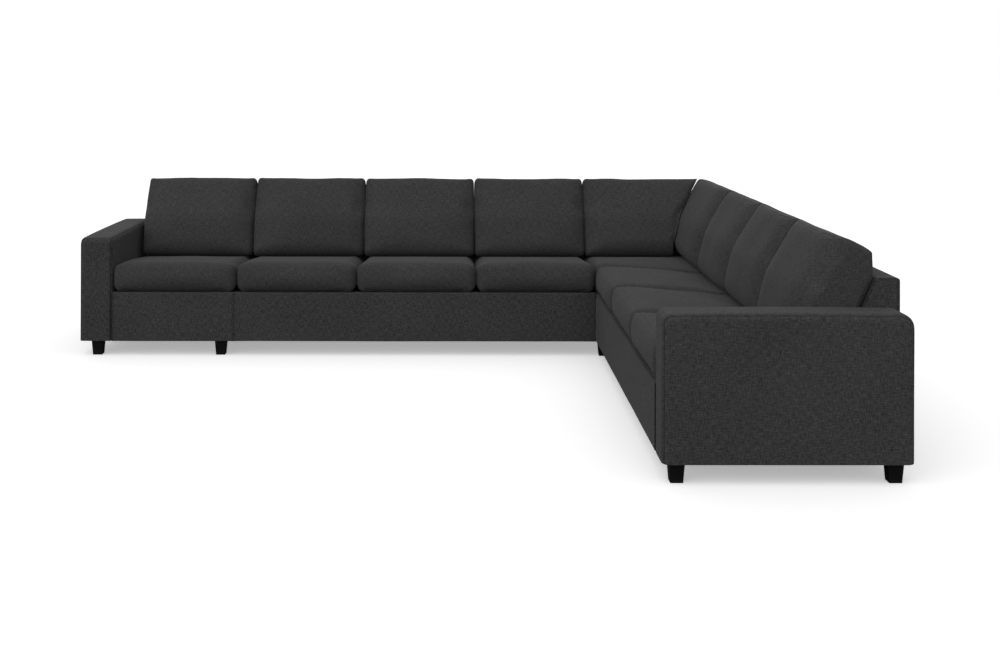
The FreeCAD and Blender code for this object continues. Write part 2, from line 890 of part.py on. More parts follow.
def bevelled(name, base, alias, is_front):
    """The space inside an arm with its upper front or upper rear corner cut off."""
    middle_y = size("module_depth") / 2
    top = size("arm_top") - size("arm_pad")
    return rounded(
        name,
        base,
        alias,
        lambda edge: is_cross_edge(edge, top) and (middle(edge).y < middle_y) == is_front,
        kind="Part::Chamfer",
    )


def arm(side, frame, start, bolted_x, foot_numbers, module):
    """A box of boards under a padded cover. The bolts enter through its seat side."""
    _, places = FEET[module]
    in_x = f"({start} + arm_pad)"
    in_w = "(arm_w - 2 * arm_pad)"
    in_d = "(module_depth - 2 * arm_pad)"
    low = FOOT_TOP
    high = "(arm_top - arm_pad)"
    side_low = f"({low} + arm_end_t)"
    side_h = f"{high} - arm_end_t - {side_low}"
    block = box(
        f"{side}_arm_block", (in_x, "arm_pad", "0"), (in_w, in_d, high)
    )
    front_cut = bevelled(f"{side}_arm_front_bevel", block, "arm_front_cut", True)
    inside = bevelled(f"{side}_arm_inside", front_cut, "arm_rear_cut", False)
    bottom = box(f"{side}_arm_bottom", (in_x, "arm_pad", low), (in_w, in_d, "arm_end_t"))
    holes = [stud_hole(f"{side}_arm_hole_{i}", *places[i]) for i in foot_numbers]
    boards = [
        cut(f"{side}_arm_floor", bottom, holes),
        within(
            f"{side}_arm_top",
            box(
                f"{side}_arm_top_board",
                (in_x, "arm_pad", f"{high} - arm_end_t"),
                (in_w, in_d, "arm_end_t"),
            ),
            inside,
        ),
    ]
    for name, x in (
        ("first", in_x),
        ("second", f"({in_x} + {in_w} - arm_board_t)"),
    ):
        panel = box(
            f"{side}_arm_{name}_panel",
            (x, "arm_pad", side_low),
            ("arm_board_t", in_d, side_h),
        )
        is_bolted = (name == "second") == (side == "left")
        tools = bolt_holes(f"{side}_arm_{name}", bolted_x) if is_bolted else []
        shaped = within(f"{side}_arm_{name}_shape", panel, inside)
        boards.append(cut(f"{side}_arm_{name}_side", shaped, tools))
    for name, y in (
        ("front", "arm_pad"),
        ("rear", "(module_depth - arm_pad - arm_end_t)"),
    ):
        end_board = box(
            f"{side}_arm_{name}_board",
            (f"{in_x} + arm_board_t", y, side_low),
            (f"{in_w} - 2 * arm_board_t", "arm_end_t", side_h),
        )
        boards.append(within(f"{side}_arm_{name}", end_board, inside))
    node(group(f"{side}_arm_boards", boards), f"{side}_arm_frame", frame)

    outer = box(
        f"{side}_arm_outer",
        (start, "0", "foot_h"),
        ("arm_w", "module_depth", "arm_top - foot_h"),
    )
    middle_y = size("module_depth") / 2
    top = size("arm_top")
    front_soft = rounded(
        f"{side}_arm_front_soft",
        outer,
        "arm_front_round",
        lambda edge: is_cross_edge(edge, top) and middle(edge).y < middle_y,
    )
    rear_soft = rounded(
        f"{side}_arm_rear_soft",
        front_soft,
        "arm_rear_round",
        lambda edge: is_cross_edge(edge, top) and middle(edge).y > top,
    )
    soft = rounded(
        f"{side}_arm_soft",
        rear_soft,
        "arm_round",
        lambda edge: not runs_along(edge, "x") and middle(edge).z > size("foot_h") + 1,
    )
    holes = bolt_holes(f"{side}_arm_cover", bolted_x)
    node(cut(f"{side}_arm_skin", soft, [inside] + holes), f"{side}_arm_cover", frame)


# Bolts and nuts that join the modules and the arms


def joining_bolts():
    """Each pair joins two faces that meet at x in a local frame, with its total grip."""
    arm_grip = "(arm_pad + arm_board_t + rail_t)"
    joints = [
        ("left_arm", LEFT, "(arm_w - arm_pad - arm_board_t)", arm_grip),
        ("left_middle", MIDDLE, "(-rail_t)", "(2 * rail_t)"),
        ("middle_corner", CORNER, "(-rail_t)", "(2 * rail_t)"),
        ("corner_wing", WING, "(-rail_t)", "(2 * rail_t)"),
        ("wing_arm", WING, f"({WING_LENGTH} - rail_t)", arm_grip),
    ]
    bolts, nuts = [], []
    for name, frame, x, grip in joints:
        for i, depth in enumerate(BOLT_DEPTHS, start=1):
            tag = f"{name}_{i}"
            head = hexagon(f"{tag}_head", (f"{x} - bolt_head_t", depth, "bolt_z"), "bolt_head_t")
            shank = rod(
                f"{tag}_shank",
                (x, depth, "bolt_z"),
                f"{grip} + 2 * bolt_head_t",
                "stud_d / 2",
                along="x",
            )
            bolts.append(place(group(f"{tag}_bolt", [fuse(f"{tag}_bar", [head, shank])]), frame))
            block = hexagon(f"{tag}_block", (f"{x} + {grip}", depth, "bolt_z"), "bolt_head_t")
            bore = rod(
                f"{tag}_bore",
                (f"{x} + {grip} - bolt_head_t", depth, "bolt_z"),
                "3 * bolt_head_t",
                "stud_d / 2 + hole_clear",
                along="x",
            )
            nuts.append(place(group(f"{tag}_nut", [cut(f"{tag}_ring", block, [bore])]), frame))
    node(group("all_bolts", bolts), "joining_bolts")
    node(group("all_nuts", nuts), "joining_nuts")


# Loose cushions. Each is lofted through outlines that stand across its width.


def outline(x, corners):
    """A closed outline at x: corners of (depth, level, radius, bulge of the side after it)."""
    total = len(corners)
    points = [FreeCAD.Vector(x, y, z) for y, z, _, _ in corners]
    starts, ends, edges = [], [], []
    for i in range(total):
        here = points[i]
        back = (points[i - 1] - here).normalize()
        ahead = (points[(i + 1) % total] - here).normalize()
        radius = corners[i][2]
        if radius == 0:
            starts.append(here)
            ends.append(here)
            continue
        half = back.getAngle(ahead) / 2
        reach = radius / math.tan(half)
        inward = (back + ahead).normalize()
        first = here + back * reach
        last = here + ahead * reach
        middle_point = here + inward * (radius / math.sin(half) - radius)
        starts.append(first)
        ends.append(last)
        edges.append((i, Part.Arc(first, middle_point, last).toShape()))
    for i in range(total):
        first, last = ends[i], starts[(i + 1) % total]
        bulge = corners[i][3]
        if bulge == 0:
            edges.append((i + 0.5, Part.LineSegment(first, last).toShape()))
            continue
        along = (last - first).normalize()
        outward = FreeCAD.Vector(0, along.z, -along.y)
        top = (first + last) * 0.5 + outward * bulge
        edges.append((i + 0.5, Part.Arc(first, top, last).toShape()))
    return Part.Wire([edge for _, edge in sorted(edges, key=lambda pair: pair[0])])


def seat_top(depth):
    return size("base_top") + size("front_gap") + size("seat_t") - size("seat_fall") * depth


def seat_bottom(depth):
    return size("base_top") + size("front_gap") - size("seat_fall") * depth


def back_plane(level):
    """Depth of the fixed back's front at a level."""
    drop = size("back_top") - level
    return size("module_depth") - size("back_top_t") - drop * size("back_lean")


def set_back(alias):
    """A depth that is given from the rear plane."""
    return size("module_depth") - size(alias)


def seat_corners(draw, crown, bulge):
    """The seat cushion's outline, from its front foot, rearwards and back over its top."""
    front_round = size("seat_round")
    rear_round = size("seat_rear_round")
    clear = size("back_gap")
    low_rear = back_plane(seat_bottom(back_plane(size("back_root")))) - clear
    high_rear = back_plane(seat_top(set_back("back_rear_set"))) - clear
    flat_end = set_back("back_foot_set") - size("soft_gap")
    lift = draw * UNDERSIDE_SHARE
    return [
        (draw, seat_bottom(draw) + lift, front_round, 0),
        (low_rear - draw, seat_bottom(low_rear) + lift, rear_round, 0),
        (high_rear - draw, seat_top(high_rear) - draw, rear_round, 0),
        (flat_end, seat_top(flat_end) - draw, 0, crown),
        (draw, seat_top(draw) - draw, front_round, bulge),
    ]


def back_corners(draw, fall, top_bulge):
    """The back cushion's outline, from its front foot, rearwards and back over its top.

    fall is how far its front stands back from its fullest place."""
    rear_round = size("back_rear_round")
    clear = size("back_gap")
    gap = size("soft_gap")
    lift = draw * UNDERSIDE_SHARE
    front = set_back("back_foot_set") + fall
    rear = back_plane(seat_top(back_plane(size("base_top") + size("seat_t")))) - clear - draw
    knee = back_plane(size("back_top")) - clear - draw
    return [
        (front, seat_top(front) + gap + lift, size("back_foot_round"), 0),
        (rear, seat_top(rear) + gap + lift, rear_round, 0),
        (knee, size("back_top"), 0, 0),
        (set_back("back_rear_set") - draw, size("back_rear_z") - draw, rear_round, top_bulge),
        (
            set_back("back_ridge_set") + fall,
            size("back_ridge_z") - draw,
            size("back_ridge_round"),
            0,
        ),
        (
            set_back("back_belly_set") + fall,
            size("back_belly_z"),
            size("back_belly_round"),
            0,
        ),
    ]


# Share of an end's drawing-in that lifts the underside, and of the fullness that an end lacks
UNDERSIDE_SHARE = 0.5
END_LACK = 0.95
# Places on the quarter round of an end, in degrees, and beyond it as shares of the reach
END_ANGLES = (0, 30, 60, 90)
BEYOND_END = (0.8, 1.7)


def stations(width, radius, reach, full_start):
    """Places across a cushion, each with its drawing-in there and its share of fullness."""
    places = []
    for angle in END_ANGLES:
        turn = math.radians(angle)
        places.append((radius * (1 - math.cos(turn)), radius * (1 - math.sin(turn))))
    places += [(share * reach, 0) for share in BEYOND_END if share * reach > radius]
    left = [(x, draw, 1 - END_LACK * math.exp(-x / reach)) for x, draw in places]
    right = [(width - x, draw, share) for x, draw, share in reversed(left)]
    if full_start:
        left = [(0, 0, 1)]
    return left + [(width / 2, 0, 1)] + right


def seat_solid(width):
    wires = [
        outline(x, seat_corners(draw, share * size("seat_crown"), share * size("seat_bulge")))
        for x, draw, share in stations(width, size("seat_end_round"), size("crown_reach"), False)
    ]
    return Part.makeLoft(wires, True, True)


def back_solid(width, full_start=False):
    """A back cushion. With full_start its left end is cut off square at its full section."""
    wires = [
        outline(
            x,
            back_corners(
                draw, (1 - share) * size("back_end_fall"), share * size("back_top_bulge")
            ),
        )
        for x, draw, share in stations(
            width, size("back_end_round"), size("fall_reach"), full_start
        )
    ]
    return Part.makeLoft(wires, True, True)


def cushion(label, shape, frame, x):
    """Places a cushion that is drawn from 0 at x in a module's local frame."""
    x_text, y_text, turned = frame
    piece = doc.addObject("Part::Feature", label)
    piece.Shape = shape
    node(piece, label)
    turn = FreeCAD.Rotation(FreeCAD.Vector(0, 0, 1), -90 if turned else 0)
    shift = turn.multVec(FreeCAD.Vector(x, 0, 0))
    base = FreeCAD.Vector(value_of(x_text), value_of(y_text), 0)
    piece.Placement = FreeCAD.Placement(base + shift, turn)


def value_of(text):
    """The number that one of the place formulas stands for."""
    probe = doc.addObject("App::FeaturePython", "probe")
    probe.addProperty("App::PropertyFloat", "value")
    bind(probe, "value", text)
    doc.recompute()
    value = probe.value
    doc.removeObject(probe.Name)
    return value


def corner_seat_solid():
    """The corner's seat: two falling tops that meet along its diagonal, on a flat underside."""
    start = size("side_gap")
    flat = size("corner_deck_top")
    front_foot, rear_foot, rear_top, flat_end, front_top = seat_corners(0, size("seat_crown"), 0)
    level = [
        (start, flat, front_foot[2], 0),
        (back_plane(flat) - size("back_gap"), flat, rear_foot[2], 0),
        rear_top,
        flat_end,
        (start, front_top[1], front_top[2], 0),
    ]
    face = Part.Face(outline(start, level))
    one_way = face.extrude(FreeCAD.Vector(size("module_depth"), 0, 0))
    other_way = one_way.mirror(FreeCAD.Vector(), FreeCAD.Vector(1, -1, 0))
    return one_way.common(other_way)


def corner_envelope():
    """The space that the corner's side cushion takes, for the cushion that stands before it.

    Its front never comes forward again as it rises, so that either cushion can be lifted."""
    corners = back_corners(0, 0, 0)
    foot_y, foot_z = corners[0][:2]
    ridge_y, ridge_z = corners[4][:2]
    belly_y, belly_z, belly_round = corners[5][:3]
    near_y = outline(0, corners).BoundBox.YMin
    near_z = foot_z + (near_y - foot_y) * (belly_z - foot_z) / (belly_y - foot_y)
    far = size("module_depth")
    high = size("back_ridge_z") + size("foot_h")
    points = [
        (near_y, 0, 0, 0),
        (far, 0, 0, 0),
        (far, high, 0, 0),
        (ridge_y, high, 0, 0),
        (ridge_y, ridge_z, 0, 0),
        (belly_y, belly_z, belly_round, 0),
        (near_y, near_z, 0, 0),
    ]
    solid = Part.Face(outline(0, points)).extrude(FreeCAD.Vector(far, 0, 0))
    solid.translate(FreeCAD.Vector(0, -size("back_gap"), 0))
    return solid


def corner_back_solid():
    """The corner's rear cushion, whose right end follows the side cushion's front."""
    width = size("corner_back_len")
    whole = back_solid(2 * width)
    high = size("back_ridge_z") + size("foot_h")
    near_half = Part.makeBox(width, size("module_depth"), high)
    turn = FreeCAD.Placement(
        FreeCAD.Vector(), FreeCAD.Rotation(FreeCAD.Vector(0, 0, 1), -90)
    )
    space = corner_envelope()
    space.Placement = turn.multiply(space.Placement)
    space.translate(FreeCAD.Vector(0, size("module_depth"), 0))
    return whole.common(near_half).cut(space)


def make_cushions():
    gap = size("side_gap")
    pitch = size("seat_pitch")
    extra = size("first_seat_extra")
    long_count = count("long_seats")
    ends = [size("arm_w")]
    rest = (long_count * pitch - pitch - extra) / (long_count - 1)
    ends.append(ends[0] + pitch + extra)
    for _ in range(long_count - 1):
        ends.append(ends[-1] + rest)
    for i, (low, high) in enumerate(zip(ends, ends[1:]), start=1):
        width = high - low - 2 * gap
        shift = size("first_back_set") if i == 1 else 0
        cushion(f"seat_cushion_{i}", seat_solid(width), LEFT, low + gap)
        cushion(f"back_cushion_{i}", back_solid(width - shift), LEFT, low + gap + shift)
    for i in range(count("wing_seats")):
        width = pitch - 2 * gap
        cushion(f"wing_seat_cushion_{i + 1}", seat_solid(width), WING, i * pitch + gap)
        cushion(f"wing_back_cushion_{i + 1}", back_solid(width), WING, i * pitch + gap)
    length = size("corner_back_len")
    cushion("corner_seat_cushion", corner_seat_solid(), CORNER, 0)
    cushion("corner_rear_back_cushion", corner_back_solid(), CORNER, gap)
    cushion("corner_side_back_cushion", back_solid(length - gap, True), WING, -length)


# The whole sofa

make_feet()
make_base_frames()
for name, first_x, places in (
    ("left", "arm_w", LEFT_SEATS),
    ("middle", "0", "middle_seats"),
    ("wing", "0", "wing_seats"),
):
    suspension(name, first_x, places)
    front_cover(name, first_x, places)
    fixed_back(name, first_x, places)
corner_suspension()
corner_back()
dust_cover("left", "arm_w", f"{LEFT_SEATS} * seat_pitch", "(base_pad + rail_t)", (2, 3))
dust_cover("middle", "0", MIDDLE_LENGTH, "(base_pad + rail_t)", (0, 1, 2))
dust_cover("wing", "0", WING_LENGTH, "(base_pad + rail_t)", (2, 3))
dust_cover("corner", "0", REAR_INSIDE, "0", (0, 1, 2, 3))
arm("left", LEFT, "0", "arm_w", (0, 1), "left")
arm("right", WING, WING_LENGTH, WING_LENGTH, (0, 1), "wing")
joining_bolts()
make_cushions()

doc.recompute()
for piece in doc.Objects:
    if {"Invalid", "Error"} & set(piece.State):
        raise RuntimeError(f"{piece.Name} failed: {piece.State}")
for piece in nodes:
    if piece.Shape.isNull() or not piece.Shape.isValid() or not piece.Shape.Solids:
        raise RuntimeError(f"{piece.Label} has no valid solid")
os.makedirs("parts", exist_ok=True)
for piece in nodes:
    piece.Shape.exportStep(f"parts/{piece.Label}.step")
print(len(nodes), "nodes,", sum(len(piece.Shape.Solids) for piece in nodes), "solids")
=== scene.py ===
import math

import bmesh
import bpy
import numpy as np
from mathutils import Matrix, Vector, noise
from mathutils.kdtree import KDTree


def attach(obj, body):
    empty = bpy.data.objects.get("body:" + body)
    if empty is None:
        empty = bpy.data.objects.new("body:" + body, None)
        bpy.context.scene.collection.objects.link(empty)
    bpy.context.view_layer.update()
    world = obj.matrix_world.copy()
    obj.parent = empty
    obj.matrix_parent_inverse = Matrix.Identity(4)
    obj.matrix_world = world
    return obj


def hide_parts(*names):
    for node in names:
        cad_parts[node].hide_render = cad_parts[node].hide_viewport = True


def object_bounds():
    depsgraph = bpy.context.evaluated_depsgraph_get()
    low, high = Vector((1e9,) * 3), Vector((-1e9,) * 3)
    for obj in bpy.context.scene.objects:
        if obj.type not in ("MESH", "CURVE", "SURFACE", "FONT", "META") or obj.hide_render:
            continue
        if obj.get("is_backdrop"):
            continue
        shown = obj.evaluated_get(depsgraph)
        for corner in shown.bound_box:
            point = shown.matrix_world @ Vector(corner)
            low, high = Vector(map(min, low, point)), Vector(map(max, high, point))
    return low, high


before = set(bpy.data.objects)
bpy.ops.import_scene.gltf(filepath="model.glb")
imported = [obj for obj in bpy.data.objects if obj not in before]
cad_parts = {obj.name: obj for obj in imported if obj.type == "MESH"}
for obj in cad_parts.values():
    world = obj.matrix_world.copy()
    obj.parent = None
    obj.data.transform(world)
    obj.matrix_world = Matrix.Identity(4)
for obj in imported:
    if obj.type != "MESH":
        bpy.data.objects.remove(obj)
cad_low, cad_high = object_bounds()
scene = bpy.context.scene

# A charcoal corner sofa. Lengths are in metres. A module's own frame has x along its width,
# y from its front plane to its rear, and z up; the wing's frame is turned a quarter.

LEFT_ORIGIN = (-1.745, 0.555)
CORNER_ORIGIN = (0.860, 0.555)
DEPTH = 0.885
ARM_W = 0.165
ARM_TOP = 0.600
FOOT_H = 0.075
BASE_TOP = 0.320
BACK_TOP = 0.700
BACK_TOP_T = 0.086
BACK_LEAN = 0.41
BACK_ROOT = 0.262
PITCH = 0.610
GAP = 0.001
SEAT_T = 0.143
SEAT_FALL = 0.0742
SEAT_ROUND = 0.030
# Places on a back cushion's outline, as (depth, height)
FOOT_Y = 0.470
BELLY = (0.520, 0.640)
RIDGE = (0.648, 0.852)
REAR_TOP = (0.795, 0.788)
END_FALL = 0.046
# Room between a cushion and the deck, between a cushion and the back, and in the corner
DECK_ROOM = 0.0025
BACK_ROOM = 0.002
CORNER_ROOM = 0.005
# Unlike widths: the first seat reaches past its module, and its back starts further in
FIRST_EXTRA = 0.012
FIRST_BACK = 0.020
CORNER_BACK = 0.655
CORNER_FLAT = 0.300
SEAT_CROWN = 0.012
SEAT_BULGE = 0.017
SEAT_REACH = 0.110
BACK_REACH = 0.060
SEAM_W = 0.003
COVER_ROUND = 0.001
PAD_T = 0.027
PANEL_T = 0.012
ARM_ROUND = 0.027
ARM_FRONT_ROUND = 0.030
ARM_REAR_ROUND = 0.048
CLOTH_FRAMES = 20
PUFF_PRESSURE = 4


def straight(origin):
    ox, oy = origin
    return lambda p: Vector((ox + p[0], oy + p[1], p[2]))


def turned(origin):
    ox, oy = origin
    return lambda p: Vector((ox + p[1], oy - p[0], p[2]))


LONG = straight(LEFT_ORIGIN)
CORNER = straight(CORNER_ORIGIN)
WING = turned(CORNER_ORIGIN)


# Mesh building: a closed loft through loops of four sides, with a grid over each end


def arc_points(first, last, bulge, number):
    """Points from first to last on a shallow arc that stands bulge out to the left of the way."""
    a, b = np.array(first, float), np.array(last, float)
    along = b - a
    out = np.array([along[1], -along[0]]) / max(np.linalg.norm(along), 1e-9)
    t = np.linspace(0, 1, number + 1)[:, None]
    return a + along * t + out * (bulge * 4 * t * (1 - t))


def side_ends(corners):
    """For each corner of (y, z, radius), where its rounding starts, its middle and its end."""
    points = [np.array(c[:2], float) for c in corners]
    total = len(points)
    found = []
    for i, here in enumerate(points):
        back = points[i - 1] - here
        ahead = points[(i + 1) % total] - here
        back, ahead = back / np.linalg.norm(back), ahead / np.linalg.norm(ahead)
        half = math.acos(max(-1, min(1, float(back @ ahead)))) / 2
        radius = corners[i][2]
        reach = radius / math.tan(half)
        inward = (back + ahead) / np.linalg.norm(back + ahead)
        centre = here + inward * radius / math.sin(half)
        found.append((here + back * reach, here + ahead * reach, centre, radius))
    return found


def loop_of(corners, bulges, counts, steps=4):
    """A closed loop of four sides through rounded corners, as a list of four point lists.

    Each side starts in the middle of its first corner's rounding and ends in the next one's."""
    ends = side_ends(corners)
    sides = []
    for i in range(4):
        leave = ends[i][1]
        arrive = ends[(i + 1) % 4][0]
        first = rounding(ends[i], 0.5, 1.0, steps)
        last = rounding(ends[(i + 1) % 4], 0.0, 0.5, steps)
        run = arc_points(leave, arrive, bulges[i], counts[i])
        sides.append(np.vstack([first[:-1], run, last[1:]]))
    return sides


def rounding(end, low, high, steps):
    start, stop, centre, radius = end
    a, b = start - centre, stop - centre
    if radius < 1e-6:
        return np.repeat(start[None, :], steps + 1, axis=0)
    turn = math.atan2(a[0] * b[1] - a[1] * b[0], a @ b)
    angles = np.linspace(low, high, steps + 1) * turn
    c, s = np.cos(angles), np.sin(angles)
    return centre + np.stack([c * a[0] - s * a[1], s * a[0] + c * a[1]], axis=1)


def inset(corners, amount, floor_kept=False):
    """The corners moved in by amount, towards the loop's inside."""
    points = [np.array(c[:2], float) for c in corners]
    total = len(points)
    moved = []
    for i, here in enumerate(points):
        back = points[i - 1] - here
        ahead = points[(i + 1) % total] - here
        back, ahead = back / np.linalg.norm(back), ahead / np.linalg.norm(ahead)
        cross = abs(float(back[0] * ahead[1] - back[1] * ahead[0]))
        step = (back + ahead) * amount / max(cross, 0.3)
        if floor_kept and here[1] < FOOT_H + 0.01:
            step[1] = 0
        moved.append((here[0] + step[0], here[1] + step[1], max(corners[i][2] - amount * 0.5, 0.002)))
    return moved


class Loft:
    """Loops of four sides at stations, joined into one closed quad mesh."""

    def __init__(self):
        self.points, self.faces, self.rings = [], [], []
        self.sides = None

    def ring(self, sides, put):
        """One loop. put turns a loop's (y, z) into a place."""
        if self.sides is None:
            self.sides = [len(s) - 1 for s in sides]
        start = len(self.points)
        for side in sides:
            for point in side[:-1]:
                self.points.append(put(point))
        number = len(self.points) - start
        ring = list(range(start, start + number))
        if self.rings:
            last = self.rings[-1]
            for i in range(number):
                j = (i + 1) % number
                self.faces.append((last[i], last[j], ring[j], ring[i]))
        self.rings.append(ring)

    def index(self, ring, side, k):
        offset = sum(self.sides[:side]) + k
        return self.rings[ring][offset % len(self.rings[ring])]

    def cap(self, ring, flip):
        """A grid over an end loop, with its four sides as the grid's edges."""
        n, m = self.sides[0], self.sides[1]
        grid = np.zeros((n + 1, m + 1), int) - 1
        for i in range(n + 1):
            grid[i, 0] = self.index(ring, 0, i)
            grid[i, m] = self.index(ring, 2, n - i)
        for j in range(m + 1):
            grid[n, j] = self.index(ring, 1, j)
            grid[0, j] = self.index(ring, 3, m - j)
        place = [np.array(p) for p in self.points]
        for i in range(1, n):
            for j in range(1, m):
                s, t = i / n, j / m
                p = (
                    (1 - t) * place[grid[i, 0]]
                    + t * place[grid[i, m]]
                    + (1 - s) * place[grid[0, j]]
                    + s * place[grid[n, j]]
                    - (1 - s) * (1 - t) * place[grid[0, 0]]
                    - s * (1 - t) * place[grid[n, 0]]
                    - (1 - s) * t * place[grid[0, m]]
                    - s * t * place[grid[n, m]]
                )
                grid[i, j] = len(self.points)
                self.points.append(Vector(p))
        for i in range(n):
            for j in range(m):
                quad = (grid[i, j], grid[i + 1, j], grid[i + 1, j + 1], grid[i, j + 1])
                self.faces.append(tuple(int(v) for v in (quad[::-1] if flip else quad)))

    def close(self):
        self.cap(0, False)
        self.cap(len(self.rings) - 1, True)

    def across(self, side, k):
        """Edges along the stations at one place of the loop."""
        return [
            (self.index(i, side, k), self.index(i + 1, side, k))
            for i in range(len(self.rings) - 1)
        ]

    def ring_edges(self, ring, side):
        return [
            (self.index(ring, side, k), self.index(ring, side, k + 1))
            for k in range(self.sides[side])
        ]

    def mesh(self, name):
        mesh = bpy.data.meshes.new(name)
        mesh.from_pydata([tuple(p) for p in self.points], [], self.faces)
        mesh.validate()
        bm = bmesh.new()
        bm.from_mesh(mesh)
        bmesh.ops.recalc_face_normals(bm, faces=bm.faces)
        bm.to_mesh(mesh)
        bm.free()
        for face in mesh.polygons:
            face.use_smooth = True
        piece = bpy.data.objects.new(name, mesh)
        scene.collection.objects.link(piece)
        return piece


def coordinates(piece):
    co = np.zeros(len(piece.data.vertices) * 3)
    piece.data.vertices.foreach_get("co", co)
    return co.reshape(-1, 3)


def normals(piece):
    co = np.zeros(len(piece.data.vertices) * 3)
    piece.data.vertices.foreach_get("normal", co)
    return co.reshape(-1, 3)


def set_coordinates(piece, co):
    piece.data.vertices.foreach_set("co", np.asarray(co, np.float32).ravel())
    piece.data.update()


def inflate(piece, pinned, pressure, cap):
    """Puffs a closed piece with a cloth simulation, its seams held, and returns each point's step,
    capped at cap.
    """
    before = coordinates(piece)
    held = piece.vertex_groups.new(name="held")
    held.add(sorted(pinned), 1.0, "REPLACE")
    cloth = piece.modifiers.new("cloth", "CLOTH")
    cloth.settings.quality = 4
    cloth.settings.mass = 0.4
    cloth.settings.tension_stiffness = 22
    cloth.settings.compression_stiffness = 22
    cloth.settings.shear_stiffness = 10
    cloth.settings.bending_stiffness = 3
    cloth.settings.use_pressure = True
    cloth.settings.uniform_pressure_force = pressure
    cloth.settings.effector_weights.gravity = 0
    cloth.settings.vertex_group_mass = held.name
    cloth.point_cache.frame_start = 1
    cloth.point_cache.frame_end = CLOTH_FRAMES
    for number in range(1, CLOTH_FRAMES + 1):
        scene.frame_set(number)
    graph = bpy.context.evaluated_depsgraph_get()
    after = coordinates(piece.evaluated_get(graph))
    piece.modifiers.remove(cloth)
    piece.vertex_groups.remove(held)
    scene.frame_set(1)
    step = after - before
    length = np.linalg.norm(step, axis=1, keepdims=True)
    step *= np.minimum(1, cap / np.maximum(length, 1e-9))
    return step


def spread(piece, values, rounds):
    """Averages one value per vertex over its neighbours."""
    edges = np.zeros(len(piece.data.edges) * 2, int)
    piece.data.edges.foreach_get("vertices", edges)
    edges = edges.reshape(-1, 2)
    count = np.bincount(edges.ravel(), minlength=len(values)).astype(float)
    for _ in range(rounds):
        total = np.zeros_like(values)
        for axis in range(values.shape[1]):
            total[:, axis] += np.bincount(
                edges[:, 0], weights=values[edges[:, 1], axis], minlength=len(values)
            )
            total[:, axis] += np.bincount(
                edges[:, 1], weights=values[edges[:, 0], axis], minlength=len(values)
            )
        values = 0.5 * values + 0.5 * total / np.maximum(count, 1)[:, None]
    return values


def ripple(points, scale, seed):
    """A smooth random field over points, from -1 to 1."""
    shift = Vector((seed * 3.7, seed * 1.9, seed * 7.3))
    return np.array([noise.noise(Vector(p) * scale + shift) for p in points])


def near(points, lines, reach):
    """1 on the lines' points and 0 from reach away."""
    tree = KDTree(len(lines))
    for i, p in enumerate(lines):
        tree.insert(Vector(p), i)
    tree.balance()
    away = np.array([tree.find(Vector(p))[2] for p in points])
    return np.clip(1 - away / reach, 0, 1) ** 2


def sew(piece, seams, width, depth):
    """Turns edges into sewn seams: two rows of fabric that dive to a line between them. The line gets
    a seam value of 1, which the fabric turns into painted shade in the groove.
    """
    bm = bmesh.new()
    bm.from_mesh(piece.data)
    bm.verts.ensure_lookup_table()
    # The seam layer holds painted shade: 1 on the groove's line, where the fabric colour is darkened
    # as if shaded
    painted_shade_layer = bm.verts.layers.float.new("seam")
    crease = bm.edges.layers.float.new("crease_edge")
    chosen = []
    for a, b in seams:
        edge = bm.edges.get((bm.verts[a], bm.verts[b]))
        if edge and edge not in chosen:
            chosen.append(edge)
    places = [v.co.copy() for e in chosen for v in e.verts]
    made = bmesh.ops.bevel(
        bm,
        geom=chosen,
        offset=width,
        segments=2,
        profile=0.5,
        affect="EDGES",
        clamp_overlap=True,
    )
    tree = KDTree(len(places))
    for i, p in enumerate(places):
        tree.insert(p, i)
    tree.balance()
    bm.normal_update()
    rows = [v for f in made["faces"] for v in f.verts]
    line = set()
    for v in set(rows):
        if all(f in set(made["faces"]) for f in v.link_faces):
            line.add(v)
    for v in line:
        v.co -= v.normal * depth
        # Marks the groove's line for painted shade
        v[painted_shade_layer] = 1.0
    for e in bm.edges:
        if e.verts[0] in line and e.verts[1] in line:
            e[crease] = 0.5
    bm.to_mesh(piece.data)
    bm.free()
    for face in piece.data.polygons:
        face.use_smooth = True
    return piece


# Sections of the cushions, in a module's own frame, from the front foot over the rear


def seat_top(y):
    return BASE_TOP + DECK_ROOM + SEAT_T - SEAT_FALL * y


def seat_bottom(y):
    return BASE_TOP + DECK_ROOM - SEAT_FALL * y


def back_plane(z):
    return DEPTH - BACK_TOP_T - (BACK_TOP - z) * BACK_LEAN


STEPS = 3
RUN = 0.016


def runs(length):
    return max(2, round(length / RUN))


def polyline(points, counts):
    parts = []
    for (a, b), n in zip(zip(points, points[1:]), counts):
        t = np.linspace(0, 1, n + 1)[:, None]
        parts.append((np.array(a) * (1 - t) + np.array(b) * t)[(1 if parts else 0):])
    return np.vstack(parts)


def seat_section(inward, share, flat=None):
    """The seat cushion's loop, moved in by inward, with that share of its crown and bulge."""
    rear_low = back_plane(seat_bottom(back_plane(BACK_ROOT))) - BACK_ROOM
    rear_high = back_plane(seat_top(REAR_TOP[0])) - BACK_ROOM
    corners = [
        (0.0, flat if flat else seat_bottom(0), 0.022),
        (rear_low, flat if flat else seat_bottom(rear_low), 0.010),
        (rear_high, seat_top(rear_high), 0.010),
        (0.0, seat_top(0), SEAT_ROUND),
    ]
    counts = [runs(rear_low), 5, runs(rear_low), 5]
    sides = loop_of(inset(corners, inward), [0, 0, 0, SEAT_BULGE * share], counts, STEPS)
    for side in (sides[2], sides[3]):
        for p in side:
            above = (p[1] - seat_top(p[0]) + 0.03 + inward) / 0.03
            if 0 < p[0] < FOOT_Y and above > 0:
                lift = 1 - abs(2 * p[0] / FOOT_Y - 1) ** 2.2
                p[1] += SEAT_CROWN * share * lift * min(1, above)
    return sides


